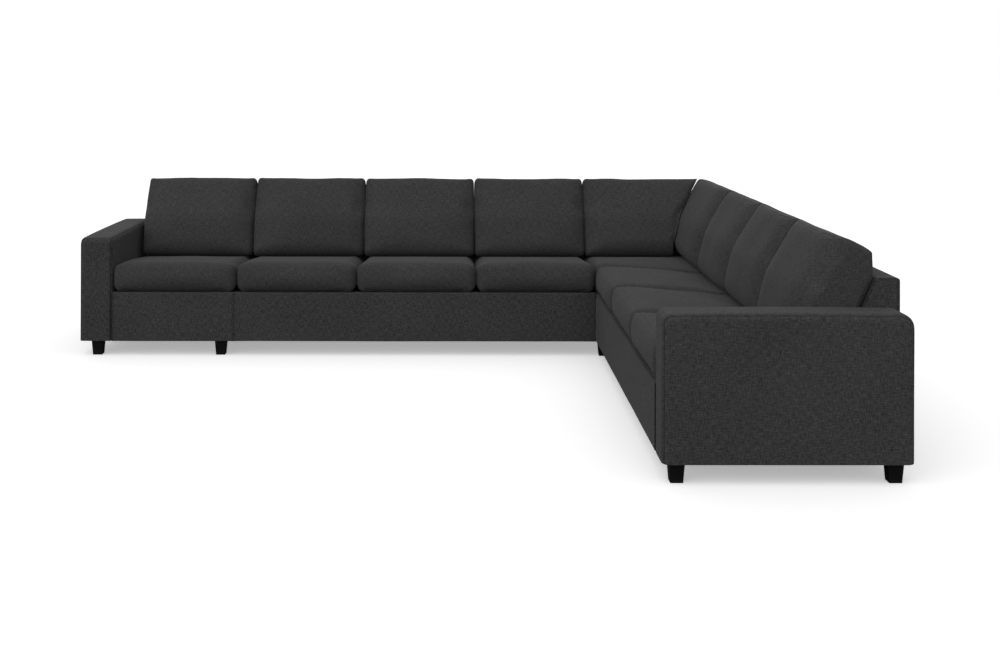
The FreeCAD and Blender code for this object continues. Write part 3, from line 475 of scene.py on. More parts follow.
def back_section(inward, share):
    """The back cushion's loop: its front bends over its belly and curves under at its foot."""
    fall = (1 - share) * END_FALL
    foot = FOOT_Y + fall
    rear = back_plane(seat_top(back_plane(BASE_TOP + SEAT_T))) - BACK_ROOM
    corners = [
        (foot, seat_top(foot) + 0.0005, 0.030 + 0.038 * share),
        (rear, seat_top(rear) + 0.0005, 0.012),
        (REAR_TOP[0], REAR_TOP[1], 0.012),
        (RIDGE[0] + fall, RIDGE[1], 0.020),
        (BELLY[0] + fall, BELLY[1], 0.200),
    ]
    ends = side_ends(inset(corners, inward))

    def side(first, last, run):
        start = rounding(ends[first], 0.5, 1.0, STEPS)[:-1]
        return np.vstack([start, run, rounding(ends[last], 0.0, 0.5, STEPS)[1:]])

    under = polyline([ends[0][1], ends[1][0]], [8])
    knee = (back_plane(BACK_TOP) - BACK_ROOM - inward, BACK_TOP)
    behind = polyline([ends[1][1], knee, ends[2][0]], [18, 6])
    top = arc_points(ends[2][1], ends[3][0], 0.009 * share, 7)
    bend = rounding(ends[4], 0.0, 1.0, 4)
    face = np.vstack([
        polyline([ends[3][1], bend[0]], [11])[:-1],
        bend,
        polyline([bend[-1], ends[0][0]], [7])[1:],
    ])
    return [side(0, 1, under), side(1, 2, behind), side(2, 3, top), side(3, 0, face)]


def end_stations(width, radii, steps=4):
    """Places across a piece: (x, how far the loop is inset there, distance from the end).

    A radius below zero marks a cut end, full to its rounding: it counts as far away."""
    rows = []
    for radius in map(abs, radii):
        angles = [math.pi / 2 * k / steps for k in range(steps + 1)]
        rows.append([(radius * (1 - math.cos(a)), radius * (1 - math.sin(a))) for a in angles])
    low, high = rows[0][-1][0], width - rows[1][-1][0]
    between = np.linspace(low, high, runs(high - low) + 1)[1:-1]
    places = rows[0] + [(x, 0.0) for x in between]
    places += [(width - x, amount) for x, amount in reversed(rows[1])]
    far = 10.0
    from_left = 0.0 if radii[0] > 0 else far
    from_right = 0.0 if radii[1] > 0 else far
    return [
        (float(x), amount, min(x + from_left, width - x + from_right)) for x, amount in places
    ]


def fullness(distance, reach):
    """The share of the crown, or of the front's fullness, at a distance from an end."""
    return 1 - 0.95 * math.exp(-distance / reach)


# Shaping after the loft: simulation, limits and small unevenness


def finish_cushion(piece, held, sewn, pressure, cap, free, seed, unevenness):
    """Puffs the cushion, keeps it in its space, adds unevenness and sews its seams.

    free gives, for a place and a normal, how far the fabric may stand out there."""
    seam_points = sorted({v for edge in held for v in edge})
    rest = coordinates(piece)
    facing = normals(piece)
    allowed = np.array([free(p, n) for p, n in zip(rest, facing)])
    allowed = spread(piece, allowed[:, None], 3)[:, 0]
    step = inflate(piece, seam_points, pressure, cap)
    step = spread(piece, step, 2)
    outward = np.einsum("ij,ij->i", step, facing)
    too_far = np.maximum(outward - allowed, 0)
    step -= facing * too_far[:, None]
    pull = near(rest, rest[seam_points], 0.035)
    fine = ripple(rest, 22, seed) * 0.5 + ripple(rest, 41, seed + 5) * 0.5
    broad = ripple(rest, 5.5, seed + 9)
    dents = (broad - 0.45) * unevenness * np.minimum(1, allowed / 0.004)
    gathers = fine * 0.0016 * pull * np.minimum(1, allowed / 0.002)
    rest = rest + step + facing * (dents + gathers)[:, None]
    set_coordinates(piece, rest)
    sew(piece, sewn, SEAM_W, 0.0016)
    smooth = piece.modifiers.new("smooth", "SUBSURF")
    smooth.levels = 1
    smooth.render_levels = 1


def local_of(module):
    """Turns a place or normal of the sofa back into a module's own frame."""
    origin = module((0, 0, 0))
    x_axis = module((1, 0, 0)) - origin
    y_axis = module((0, 1, 0)) - origin
    origin = np.array(origin)
    basis = np.array([x_axis, y_axis, Vector((0, 0, 1))])
    return lambda p: basis @ (p - origin), lambda n: basis @ n


def seat_free(module):
    place_of, normal_of = local_of(module)

    def free(p, n):
        y = place_of(p)[1]
        ny, nz = normal_of(n)[1:]
        if ny < -0.5:
            return 0.006
        if nz > 0.5 and y < 0.44:
            return 0.005
        return 0.0

    return free


def back_free(module, front):
    """front is how far the cushion's face may stand out."""
    place_of, normal_of = local_of(module)

    def free(p, n):
        nx, ny, nz = normal_of(n)
        z = place_of(p)[2]
        if abs(nx) > 0.6 or nz < -0.5 or ny > 0.5:
            return 0.0
        if ny < -0.4:
            return front if z > 0.5 else min(front, 0.003)
        return min(front, 0.003)

    return free


def seat_cushion(name, module, x, width, seed):
    loft = Loft()
    for at, inward, distance in end_stations(width, (0.036, 0.036)):
        sides = seat_section(inward, fullness(distance, SEAT_REACH))
        loft.ring(sides, lambda p, at=at: module((x + at, p[0], p[1])))
    loft.close()
    piece = loft.mesh(name)
    held, sewn = seat_seams(loft)
    finish_cushion(piece, held, sewn, PUFF_PRESSURE, 0.022, seat_free(module), seed, 0.0035)
    return piece


def seat_seams(loft):
    """Edges that the cushion's boxing holds, and those of them that show as sewn seams."""
    front, top = loft.sides[3], loft.sides[2]
    upper = loft.across(2, top - STEPS)
    lower = loft.across(3, front - STEPS)
    rear = loft.across(1, STEPS) + loft.across(1, loft.sides[1] - STEPS)
    return upper + lower + rear, upper + lower


def back_cushion(name, module, x, width, seed, radii=(0.024, 0.024), front=0.006, end_at=None):
    loft = Loft()
    for at, inward, distance in end_stations(width, radii):
        sides = back_section(inward, fullness(distance, BACK_REACH))

        def put(p, at=at):
            along = at if end_at is None else at * min(1.0, end_at(p) / width)
            return module((x + along, p[0], p[1]))

        loft.ring(sides, put)
    loft.close()
    piece = loft.mesh(name)
    low, top = loft.sides[0], loft.sides[2]
    sewn = loft.across(2, STEPS) + loft.across(0, low - STEPS)
    held = sewn + loft.across(0, STEPS) + loft.across(2, top - STEPS)
    finish_cushion(piece, held, sewn, PUFF_PRESSURE, 0.022, back_free(module, front), seed, 0.006)
    return piece


def padded(piece, node):
    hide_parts(node)
    return piece


cushions, covers = [], []


def add_cushion(piece, node):
    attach(piece, node)
    cushions.append(padded(piece, node))


rest_width = (3 * PITCH - FIRST_EXTRA) / 3
edges = [ARM_W, ARM_W + PITCH + FIRST_EXTRA]
for _ in range(3):
    edges.append(edges[-1] + rest_width)
for i, (low, high) in enumerate(zip(edges, edges[1:]), start=1):
    width = high - low - 2 * GAP
    node = f"seat_cushion_{i}"
    add_cushion(seat_cushion(f"{node}_soft", LONG, low + GAP, width, i), node)
    node = f"back_cushion_{i}"
    shift = FIRST_BACK if i == 1 else 0.0
    piece = back_cushion(f"{node}_soft", LONG, low + GAP + shift, width - shift, i + 20)
    add_cushion(piece, node)
for i in range(3):
    width = PITCH - 2 * GAP
    node = f"wing_seat_cushion_{i + 1}"
    add_cushion(seat_cushion(f"{node}_soft", WING, i * PITCH + GAP, width, i + 40), node)
    node = f"wing_back_cushion_{i + 1}"
    add_cushion(back_cushion(f"{node}_soft", WING, i * PITCH + GAP, width, i + 60), node)

node = "corner_side_back_cushion"
piece = back_cushion(
    f"{node}_soft", WING, -CORNER_BACK, CORNER_BACK - GAP, 71, radii=(-0.004, 0.024), front=0.002
)
add_cushion(piece, node)


def front_depth(z):
    """Depth of a back cushion's full front at a level, never nearer again as it rises."""
    nearest = min(float(p[0]) for p in back_section(0, 1.0)[3])
    foot = (FOOT_Y, seat_top(FOOT_Y))
    levels = [foot[1], BELLY[1], RIDGE[1]]
    return max(nearest, float(np.interp(z, levels, [foot[0], BELLY[0], RIDGE[0]])))


def corner_end(p):
    """How far the corner's rear cushion reaches along the wall, up to the side cushion."""
    return front_depth(p[1]) - CORNER_ROOM - GAP


node = "corner_rear_back_cushion"
piece = back_cushion(
    f"{node}_soft", CORNER, GAP, CORNER_BACK, 72, radii=(0.024, -0.005), end_at=corner_end
)
add_cushion(piece, node)


def corner_seat(name, seed):
    """The corner's seat: both tops fall towards the backs, and its underside is level."""
    loft = Loft()
    width = back_plane(CORNER_FLAT) - BACK_ROOM - GAP
    for at, inward, _ in end_stations(width, (0.022, 0.010)):
        sides = seat_section(inward, 0.8, CORNER_FLAT)
        x = GAP + at

        def put(p, x=x):
            y, z = max(p[0], GAP), p[1]
            if z > CORNER_FLAT + 0.05:
                z = min(z, z - SEAT_FALL * max(0.0, x - y))
            return CORNER((x, y, z))

        loft.ring(sides, put)
    loft.close()
    piece = loft.mesh(name)
    held, sewn = seat_seams(loft)

    def free(p, n):
        place = p - np.array(CORNER((0, 0, 0)))
        if n[2] > 0.5 and max(place[0], place[1]) < 0.44:
            return 0.004
        return 0.0

    finish_cushion(piece, held, sewn, PUFF_PRESSURE, 0.02, free, seed, 0.003)
    return piece


node = "corner_seat_cushion"
add_cushion(corner_seat(f"{node}_soft", 73), node)


# Fixed upholstery: arms, base fronts and backs


def upholstery(piece, node, module, seams, seed, amount):
    """Small unevenness and sewn seams on a cover that stays on the frame.

    The ends, which meet the next module, stay flat."""
    rest = coordinates(piece)
    facing = normals(piece)
    across = np.array(module((1, 0, 0)) - module((0, 0, 0)))
    flat = ripple(rest, 4.5, seed) * amount - amount
    reach = rest @ across
    to_end = np.minimum(reach - reach.min(), reach.max() - reach)
    flat *= np.clip(1.4 - 2 * np.abs(facing @ across), 0, 1) * np.clip(to_end / 0.02, 0, 1)
    rest = rest + facing * flat[:, None]
    rest[:, 2] = np.maximum(rest[:, 2], FOOT_H)
    set_coordinates(piece, rest)
    if seams:
        sew(piece, seams, SEAM_W, 0.0025)
    elif node.endswith("base_cover"):
        # Painted shade on the cover's ends, where the modules meet
        shade_ends(piece, to_end)
    smooth = piece.modifiers.new("smooth", "SUBSURF")
    smooth.levels = 1
    smooth.render_levels = 1
    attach(piece, "frame")
    padded(piece, node)
    covers.append(piece)
    return piece


def shade_ends(piece, to_end):
    """Paints shade on a base cover's folded ends through the seam value, so that the split between
    modules reads dark.
    """
    painted_shade_layer = piece.data.attributes.new("seam", "FLOAT", "POINT")
    # Painted shade: full on the end ring, about a third on the rings just inside it
    shade = np.where(to_end < 0.0005, 1.0, np.where(to_end < 0.0012, 0.35, 0.0))
    painted_shade_layer.data.foreach_set("value", shade.astype(np.float32))


def arm(node, module, x, seed):
    """A padded arm: two side panels sewn to a strip that runs up its front and over its top."""
    loft = Loft()
    seam_rings = []
    stations = end_stations(ARM_W, (ARM_ROUND, ARM_ROUND), 6)
    for number, (at, inward, _) in enumerate(stations):
        corners = [
            (0.0, FOOT_H, 0.003),
            (DEPTH, FOOT_H, 0.003),
            (DEPTH, ARM_TOP, ARM_REAR_ROUND),
            (0.0, ARM_TOP, ARM_FRONT_ROUND),
        ]
        corners = inset(corners, inward, floor_kept=True)
        corners[0] = (corners[0][0], FOOT_H, 0.003)
        corners[1] = (corners[1][0], FOOT_H, 0.003)
        counts = [runs(DEPTH), 22, runs(DEPTH), 22]
        sides = loop_of(corners, [0, 0, 0, 0], counts, STEPS)
        for side in sides[1:]:
            for p in side:
                along = 2 * p[0] / DEPTH - 1
                share = max(0.0, (p[1] - FOOT_H) / (ARM_TOP - FOOT_H))
                p[1] -= 0.0035 * abs(along) ** 2.2 * share ** 3
        loft.ring(sides, lambda p, at=at: module((x + at, p[0], p[1])))
        if abs(inward - ARM_ROUND * (1 - math.sin(math.pi / 4))) < 1e-6:
            seam_rings.append(number)
    loft.close()
    piece = loft.mesh(f"{node}_soft")
    seams = [e for r in seam_rings for side in (1, 2, 3) for e in loft.ring_edges(r, side)]
    return upholstery(piece, node, module, seams, seed, 0.0009)


arm("left_arm_cover", LONG, 0.0, 81)
arm("right_arm_cover", WING, 3 * PITCH, 82)


def base_front(node, module, x, width, seed):
    """The upholstered face under the seats, down to the base's underside."""
    loft = Loft()
    for at, inward, _ in end_stations(width, (COVER_ROUND, COVER_ROUND), 2):
        corners = [
            (0.0, FOOT_H, 0.004),
            (PAD_T, FOOT_H, 0.003),
            (PAD_T, BASE_TOP, 0.003),
            (0.0, BASE_TOP, 0.005),
        ]
        sides = loop_of(inset(corners, inward), [0, 0, 0, 0], [2, 14, 2, 14], 2)
        loft.ring(sides, lambda p, at=at: module((x + at, p[0], p[1])))
    loft.close()
    piece = loft.mesh(f"{node}_soft")
    return upholstery(piece, node, module, [], seed, 0.0008)


base_front("left_base_cover", LONG, ARM_W, PITCH, 91)
base_front("middle_base_cover", LONG, ARM_W + PITCH, 3 * PITCH, 92)
base_front("wing_base_cover", WING, 0.0, 3 * PITCH, 93)


def joined(name, parts):
    """One piece from several closed shells."""
    bm = bmesh.new()
    for part in parts:
        bm.from_mesh(part.data)
    mesh = bpy.data.meshes.new(name)
    bm.to_mesh(mesh)
    bm.free()
    for part in parts:
        bpy.data.objects.remove(part)
    for face in mesh.polygons:
        face.use_smooth = True
    piece = bpy.data.objects.new(name, mesh)
    scene.collection.objects.link(piece)
    return piece


def lean_loop(inward):
    corners = [
        (back_plane(BACK_ROOT), BACK_ROOT, 0.004),
        (DEPTH - 0.004, BACK_ROOT, 0.004),
        (DEPTH - 0.004, BACK_TOP, 0.010),
        (back_plane(BACK_TOP), BACK_TOP, 0.012),
    ]
    return loop_of(inset(corners, inward), [0, 0, 0, 0], [12, 24, 4, 24], 2)


def panel_loop(inward):
    corners = [
        (DEPTH - PANEL_T, FOOT_H, 0.002),
        (DEPTH, FOOT_H, 0.003),
        (DEPTH, BACK_TOP - 0.002, 0.010),
        (DEPTH - PANEL_T, BACK_TOP - 0.002, 0.002),
    ]
    return loop_of(inset(corners, inward), [0, 0, 0, 0], [1, 34, 1, 34], 2)


def back_part(name, module, x, width, loop):
    loft = Loft()
    for at, inward, _ in end_stations(width, (COVER_ROUND, COVER_ROUND), 2):
        loft.ring(loop(inward), lambda p, at=at: module((x + at, p[0], p[1])))
    loft.close()
    return loft.mesh(name)


def fixed_back(node, module, x, width, seed):
    front = back_part("front_part", module, x, width, lean_loop)
    rear = back_part("rear_part", module, x, width, panel_loop)
    piece = joined(f"{node}_soft", [front, rear])
    return upholstery(piece, node, module, [], seed, 0.0007)


fixed_back("left_back_cover", LONG, ARM_W, PITCH, 101)
fixed_back("middle_back_cover", LONG, ARM_W + PITCH, 3 * PITCH, 102)
fixed_back("wing_back_cover", WING, 0.0, 3 * PITCH, 103)


def corner_part(name, loop):
    """A back's loop led along the rear side, round the mitre and along the other side."""
    loft = Loft()
    legs = np.linspace(0, 1, runs(DEPTH) + 1)
    for t in legs:
        inward = 0.004 if t == 0 else 0.0
        loft.ring(loop(inward), lambda p, t=t: CORNER((0.0005 + t * (p[0] - 0.0005), p[0], p[1])))
    for t in legs[1:]:
        inward = 0.004 if t == 1 else 0.0
        loft.ring(
            loop(inward), lambda p, t=t: CORNER((p[0], p[0] + t * (0.0005 - p[0]), p[1]))
        )
    loft.close()
    return loft.mesh(name)


piece = joined(
    "corner_back_cover_soft",
    [corner_part("front_part", lean_loop), corner_part("rear_part", panel_loop)],
)
upholstery(piece, "corner_back_cover", CORNER, [], 104, 0.0007)


# Materials


class Nodes:
    """A material's node tree, with short calls that make and join its nodes."""

    def __init__(self, name):
        self.material = bpy.data.materials.new(name)
        self.material.use_nodes = True
        self.tree = self.material.node_tree
        self.shader = self.tree.nodes["Principled BSDF"]

    def add(self, kind, inputs=(), **settings):
        made = self.tree.nodes.new(kind)
        for key, value in settings.items():
            setattr(made, key, value)
        for key, value in dict(inputs).items():
            self.feed(made.inputs[key], value)
        return made

    def feed(self, socket, value):
        if isinstance(value, bpy.types.NodeSocket):
            self.tree.links.new(value, socket)
        else:
            socket.default_value = value

    def math(self, operation, a, b=0.0):
        return self.add("ShaderNodeMath", {0: a, 1: b}, operation=operation).outputs[0]

    def mix(self, factor, a, b):
        """A colour between a and b."""
        made = self.add("ShaderNodeMix", data_type="RGBA")
        self.feed(made.inputs[0], factor)
        self.feed(made.inputs[6], a)
        self.feed(made.inputs[7], b)
        return made.outputs[2]

    def mix_vector(self, factor, a, b):
        made = self.add("ShaderNodeMix", data_type="VECTOR")
        self.feed(made.inputs[0], factor)
        self.feed(made.inputs[4], a)
        self.feed(made.inputs[5], b)
        return made.outputs[1]

    def noise(self, vector, scale, detail=2.0, roughness=0.5):
        inputs = {"Vector": vector, "Scale": scale, "Detail": detail, "Roughness": roughness}
        return self.add("ShaderNodeTexNoise", inputs).outputs[0]

    def ramp(self, value, low, high):
        """value's stretch from low to high as 0 to 1."""
        inputs = {"Value": value, "From Min": low, "From Max": high}
        return self.add("ShaderNodeMapRange", inputs).outputs[0]

    def stretch(self, vector, scale):
        made = self.add("ShaderNodeVectorMath", {0: vector, 1: scale}, operation="MULTIPLY")
        return made.outputs[0]


def surface_plane(nodes):
    """The two directions that lie in the surface, so that a weave runs level and upright."""
    where = nodes.add("ShaderNodeTexCoord")
    place = nodes.add("ShaderNodeSeparateXYZ", {0: where.outputs["Object"]}).outputs
    turn = nodes.add("ShaderNodeVectorMath", {0: where.outputs["Normal"]}, operation="ABSOLUTE")
    facing = nodes.add("ShaderNodeSeparateXYZ", {0: turn.outputs[0]}).outputs
    side = nodes.add("ShaderNodeCombineXYZ", {0: place[1], 1: place[2]}).outputs[0]
    front = nodes.add("ShaderNodeCombineXYZ", {0: place[0], 1: place[2]}).outputs[0]
    top = nodes.add("ShaderNodeCombineXYZ", {0: place[0], 1: place[1]}).outputs[0]
    is_side = nodes.math("GREATER_THAN", facing[0], facing[1])
    is_top = nodes.math("GREATER_THAN", facing[2], 0.72)
    upright = nodes.mix_vector(is_side, front, side)
    return where.outputs["Object"], nodes.mix_vector(is_top, upright, top)


def fabric(name, dark, light, spread_to, seam_shade, pitch=0.0021):
    """A charcoal melange weave: crossing yarns of uneven greys, with short slubs both ways, and
    painted shade where the seam value is set, darker by seam_shade.
    """
    nodes = Nodes(name)
    solid, flat = surface_plane(nodes)
    split = nodes.add("ShaderNodeSeparateXYZ", {0: flat}).outputs
    turn = math.pi / pitch
    across = nodes.math("SINE", nodes.math("MULTIPLY", split[0], turn))
    along = nodes.math("SINE", nodes.math("MULTIPLY", split[1], turn))
    checker = nodes.math("MULTIPLY", across, along)
    warp = nodes.noise(nodes.stretch(flat, (320.0, 42.0, 1.0)), 1.0, 2.0, 0.6)
    weft = nodes.noise(nodes.stretch(flat, (42.0, 320.0, 1.0)), 1.0, 2.0, 0.6)
    flecks = nodes.noise(nodes.stretch(flat, (190.0, 190.0, 1.0)), 1.0, 3.0, 0.65)
    patches = nodes.noise(solid, 3.2, 3.0, 0.55)
    over = nodes.ramp(checker, -0.25, 0.25)
    yarn = nodes.add("ShaderNodeMix", data_type="FLOAT")
    nodes.feed(yarn.inputs[0], over)
    nodes.feed(yarn.inputs[2], nodes.ramp(warp, 0.5 - spread_to, 0.52 + spread_to))
    nodes.feed(yarn.inputs[3], nodes.ramp(weft, 0.5 - spread_to, 0.52 + spread_to))
    tone = nodes.math("MULTIPLY", yarn.outputs[0], 0.68)
    tone = nodes.math("ADD", tone, nodes.math("MULTIPLY", nodes.ramp(flecks, 0.42, 0.62), 0.20))
    tone = nodes.math("ADD", tone, nodes.math("MULTIPLY", nodes.ramp(patches, 0.3, 0.7), 0.12))
    # Painted shade: the seam value darkens the colour, by seam_shade at most, along seam grooves and
    # base-cover ends
    seam = nodes.add("ShaderNodeAttribute", attribute_name="seam").outputs["Fac"]
    shade = nodes.math("SUBTRACT", 1.0, nodes.math("MULTIPLY", seam, seam_shade))
    base = nodes.mix(tone, dark, light)
    made = nodes.add("ShaderNodeMix", data_type="RGBA", blend_type="MULTIPLY")
    nodes.feed(made.inputs[0], 1.0)
    nodes.feed(made.inputs[6], base)
    grey = nodes.add("ShaderNodeCombineXYZ", {0: shade, 1: shade, 2: shade}).outputs[0]
    nodes.feed(made.inputs[7], grey)
    nodes.feed(nodes.shader.inputs["Base Color"], made.outputs[2])
    rough = nodes.math("ADD", 0.86, nodes.math("MULTIPLY", flecks, 0.12))
    nodes.feed(nodes.shader.inputs["Roughness"], rough)
    nodes.shader.inputs["Specular IOR Level"].default_value = 0.08
    nodes.shader.inputs["Sheen Weight"].default_value = 0.06
    nodes.shader.inputs["Sheen Roughness"].default_value = 0.45
    height = nodes.math("ADD", nodes.math("MULTIPLY", checker, 0.5), yarn.outputs[0])
    height = nodes.math("ADD", height, nodes.math("MULTIPLY", flecks, 0.8))
    bump = nodes.add(
        "ShaderNodeBump", {"Height": height, "Strength": 0.25, "Distance": 0.0005}
    ).outputs[0]
    nodes.feed(nodes.shader.inputs["Normal"], bump)
    return nodes.material


def timber(name, dark, light):
    nodes = Nodes(name)
    where = nodes.add("ShaderNodeTexCoord").outputs["Object"]
    grain = nodes.noise(nodes.stretch(where, (4.0, 4.0, 60.0)), 1.0, 5.0, 0.6)
    pores = nodes.noise(nodes.stretch(where, (30.0, 30.0, 500.0)), 1.0, 2.0, 0.5)
    tone = nodes.math("ADD", nodes.ramp(grain, 0.3, 0.7), nodes.math("MULTIPLY", pores, 0.3))
    nodes.feed(nodes.shader.inputs["Base Color"], nodes.mix(tone, dark, light))
    nodes.feed(nodes.shader.inputs["Roughness"], nodes.ramp(pores, -1.2, 1.6))
    bump = nodes.add("ShaderNodeBump", {"Height": grain, "Strength": 0.3, "Distance": 0.0008})
    nodes.feed(nodes.shader.inputs["Normal"], bump.outputs[0])
    return nodes.material


def cloth(name, dark, light, scale, depth):
    """A plain technical cloth: felt, webbing or non-woven, with a small repeating texture."""
    nodes = Nodes(name)
    solid, flat = surface_plane(nodes)
    split = nodes.add("ShaderNodeSeparateXYZ", {0: flat}).outputs
    across = nodes.math("SINE", nodes.math("MULTIPLY", split[0], scale))
    along = nodes.math("SINE", nodes.math("MULTIPLY", split[1], scale))
    dots = nodes.math("MULTIPLY", across, along)
    fibres = nodes.noise(solid, 420.0, 3.0, 0.7)
    tone = nodes.math("ADD", nodes.ramp(dots, -2.5, 2.5), nodes.math("MULTIPLY", fibres, 0.5))
    nodes.feed(nodes.shader.inputs["Base Color"], nodes.mix(tone, dark, light))
    nodes.feed(nodes.shader.inputs["Roughness"], nodes.ramp(fibres, -1.8, 1.2))
    height = nodes.math("ADD", dots, fibres)
    bump = nodes.add("ShaderNodeBump", {"Height": height, "Strength": 0.4, "Distance": depth})
    nodes.feed(nodes.shader.inputs["Normal"], bump.outputs[0])
    return nodes.material


def lacquer(name):
    """Black satin lacquer over wood, a little worn and dusty near the floor."""
    nodes = Nodes(name)
    where = nodes.add("ShaderNodeTexCoord").outputs["Object"]
    level = nodes.add("ShaderNodeSeparateXYZ", {0: where}).outputs[2]
    grain = nodes.noise(nodes.stretch(where, (260.0, 260.0, 22.0)), 1.0, 4.0, 0.6)
    dust = nodes.math("MULTIPLY", nodes.ramp(level, 0.02, 0.0), nodes.noise(where, 90.0, 4.0, 0.6))
    tone = nodes.math("ADD", nodes.math("MULTIPLY", grain, 0.35), nodes.math("MULTIPLY", dust, 0.9))
    colour = nodes.mix(tone, (0.0025, 0.0024, 0.0024, 1), (0.010, 0.0095, 0.009, 1))
    nodes.feed(nodes.shader.inputs["Base Color"], colour)
    nodes.feed(nodes.shader.inputs["Roughness"], nodes.ramp(grain, -0.9, 1.6))
    nodes.shader.inputs["Specular IOR Level"].default_value = 0.1
    bump = nodes.add("ShaderNodeBump", {"Height": grain, "Strength": 0.15, "Distance": 0.0004})
    nodes.feed(nodes.shader.inputs["Normal"], bump.outputs[0])
    return nodes.material


def steel(name):
    nodes = Nodes(name)
    where = nodes.add("ShaderNodeTexCoord").outputs["Object"]
    spangle = nodes.noise(where, 350.0, 3.0, 0.6)
    colour = nodes.mix(spangle, (0.42, 0.42, 0.40, 1), (0.66, 0.66, 0.64, 1))
    nodes.feed(nodes.shader.inputs["Base Color"], colour)
    nodes.shader.inputs["Metallic"].default_value = 1.0
    nodes.feed(nodes.shader.inputs["Roughness"], nodes.ramp(spangle, -0.6, 1.8))
    bump = nodes.add("ShaderNodeBump", {"Height": spangle, "Strength": 0.1, "Distance": 0.0003})
    nodes.feed(nodes.shader.inputs["Normal"], bump.outputs[0])
    return nodes.material


def dress(piece, material):
    piece.data.materials.clear()
    piece.data.materials.append(material)


# The last number is each fabric's painted shade along its seams and cover ends
weave = fabric("cushion_weave", (0.022, 0.022, 0.022, 1), (0.072, 0.072, 0.072, 1), 0.12, 0.2)
cover_weave = fabric("cover_weave", (0.017, 0.017, 0.017, 1), (0.077, 0.077, 0.077, 1), 0.08, 0.5)
for piece in cushions:
    dress(piece, weave)
for piece in covers:
    dress(piece, cover_weave)

pine = timber("pine", (0.42, 0.27, 0.13, 1), (0.66, 0.48, 0.28, 1))
hardboard = timber("hardboard", (0.16, 0.10, 0.055, 1), (0.30, 0.20, 0.12, 1))
webbing = cloth("webbing_weave", (0.006, 0.006, 0.006, 1), (0.05, 0.05, 0.045, 1), 2200.0, 0.0005)
felt = cloth("deck_felt", (0.008, 0.008, 0.008, 1), (0.035, 0.035, 0.036, 1), 900.0, 0.0006)
spunbond = cloth("spunbond", (0.003, 0.003, 0.003, 1), (0.016, 0.016, 0.016, 1), 2400.0, 0.0003)
black = lacquer("foot_lacquer")
zinc = steel("zinc_plate")
FINISHES = (
    ("_base_frame", pine),
    ("_back_frame", pine),
    ("_arm_frame", pine),
    ("_back_boards", hardboard),
    ("_seat_webbing", webbing),
    ("_seat_deck", felt),
    ("_dust_cover", spunbond),
    ("_feet", black),
    ("foot_studs", zinc),
    ("joining_bolts", zinc),
    ("joining_nuts", zinc),
)
for name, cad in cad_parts.items():
    for ending, material in FINISHES:
        if name.endswith(ending):
            for place in range(len(cad.material_slots)):
                cad.material_slots[place].material = material
            if not cad.material_slots:
                raise RuntimeError(f"{name} has no material slot")
    if name.endswith("_feet"):
        soften = cad.modifiers.new("soften", "BEVEL")
        soften.width = 0.0015
        soften.segments = 2
        soften.limit_method = "ANGLE"


# Floor, lights and camera


def add_floor():
    mesh = bpy.data.meshes.new("floor")
    reach = 60.0
    corners = [(-reach, -reach, 0), (reach, -reach, 0), (reach, reach, 0), (-reach, reach, 0)]
    mesh.from_pydata(corners, [], [(0, 1, 2, 3)])
    floor = bpy.data.objects.new("floor", mesh)
    scene.collection.objects.link(floor)
    floor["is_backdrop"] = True
    nodes = Nodes("floor_white")
    tree = nodes.tree
    output = tree.nodes["Material Output"]
    seen = nodes.add("ShaderNodeLightPath").outputs
    plain = nodes.add("ShaderNodeBsdfDiffuse", {"Color": (0.25, 0.25, 0.25, 1)})
    bright = nodes.add("ShaderNodeBsdfDiffuse", {"Color": (0.92, 0.92, 0.92, 1)})
    glow = nodes.add("ShaderNodeEmission", {"Color": (1, 1, 1, 1), "Strength": 0.38})
    lit = nodes.add("ShaderNodeAddShader", {0: bright.outputs[0], 1: glow.outputs[0]})
    mixed = nodes.add("ShaderNodeMixShader")
    nodes.feed(mixed.inputs[0], seen["Is Camera Ray"])
    nodes.feed(mixed.inputs[1], plain.outputs[0])
    nodes.feed(mixed.inputs[2], lit.outputs[0])
    tree.links.new(mixed.outputs[0], output.inputs["Surface"])
    tree.nodes.remove(nodes.shader)
    floor.data.materials.append(nodes.material)


add_floor()

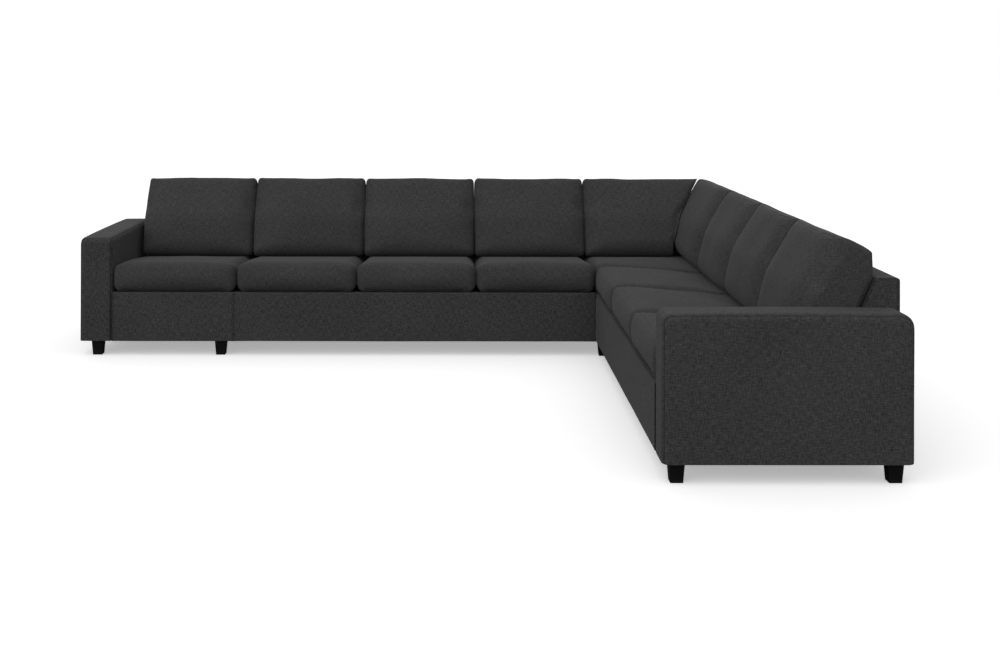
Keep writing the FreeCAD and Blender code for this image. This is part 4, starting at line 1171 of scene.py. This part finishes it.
world = bpy.data.worlds.new("studio")
scene.world = world
world.use_nodes = True
tree = world.node_tree
tree.nodes.clear()
path = tree.nodes.new("ShaderNodeLightPath")
sky = tree.nodes.new("ShaderNodeBackground")
sky.inputs["Color"].default_value = (1, 1, 1, 1)
sky.inputs["Strength"].default_value = 0.56
white = tree.nodes.new("ShaderNodeBackground")
white.inputs["Color"].default_value = (1, 1, 1, 1)
white.inputs["Strength"].default_value = 1.0
chosen = tree.nodes.new("ShaderNodeMath")
chosen.operation = "MAXIMUM"
tree.links.new(path.outputs["Is Camera Ray"], chosen.inputs[0])
either = tree.nodes.new("ShaderNodeMath")
either.operation = "MAXIMUM"
tree.links.new(path.outputs["Is Glossy Ray"], either.inputs[0])
tree.links.new(path.outputs["Is Transmission Ray"], either.inputs[1])
tree.links.new(either.outputs[0], chosen.inputs[1])
blend = tree.nodes.new("ShaderNodeMixShader")
tree.links.new(chosen.outputs[0], blend.inputs[0])
tree.links.new(sky.outputs[0], blend.inputs[1])
tree.links.new(white.outputs[0], blend.inputs[2])
output = tree.nodes.new("ShaderNodeOutputWorld")
tree.links.new(blend.outputs[0], output.inputs["Surface"])


def add_sun(name, towards, strength, spread_deg):
    lamp = bpy.data.lights.new(name, "SUN")
    lamp.energy = strength
    lamp.angle = math.radians(spread_deg)
    sun = bpy.data.objects.new(name, lamp)
    scene.collection.objects.link(sun)
    sun.rotation_euler = Vector(towards).to_track_quat("-Z", "Y").to_euler()


add_sun("key", (0.34, 0.74, -0.52), 1.4, 80)

camera = bpy.data.cameras.new("photo_camera")
camera.sensor_width = 36.0
camera.lens = 45.2585
camera.shift_x = 0.0377
camera.shift_y = -0.26092
camera.clip_end = 200.0
viewer = bpy.data.objects.new("photo_camera", camera)
scene.collection.objects.link(viewer)
yaw, roll = 0.0081, -0.003
ahead = Vector((math.sin(yaw), math.cos(yaw), 0))
right = Vector((math.cos(yaw), -math.sin(yaw), 0))
up = Vector((0, 0, 1))
right, up = (
    right * math.cos(roll) - up * math.sin(roll),
    right * math.sin(roll) + up * math.cos(roll),
)
turn = Matrix((right, up, -ahead)).transposed().to_4x4()
viewer.matrix_world = Matrix.Translation((0.1288, -5.7896, 1.4335)) @ turn
scene.camera = viewer
scene.view_settings.view_transform = "Standard"

low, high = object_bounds()
('{"cad": [%s, %s], "visual": [%s, %s]}'
    % tuple([round(v, 5) for v in corner] for corner in (cad_low, cad_high, low, high)))
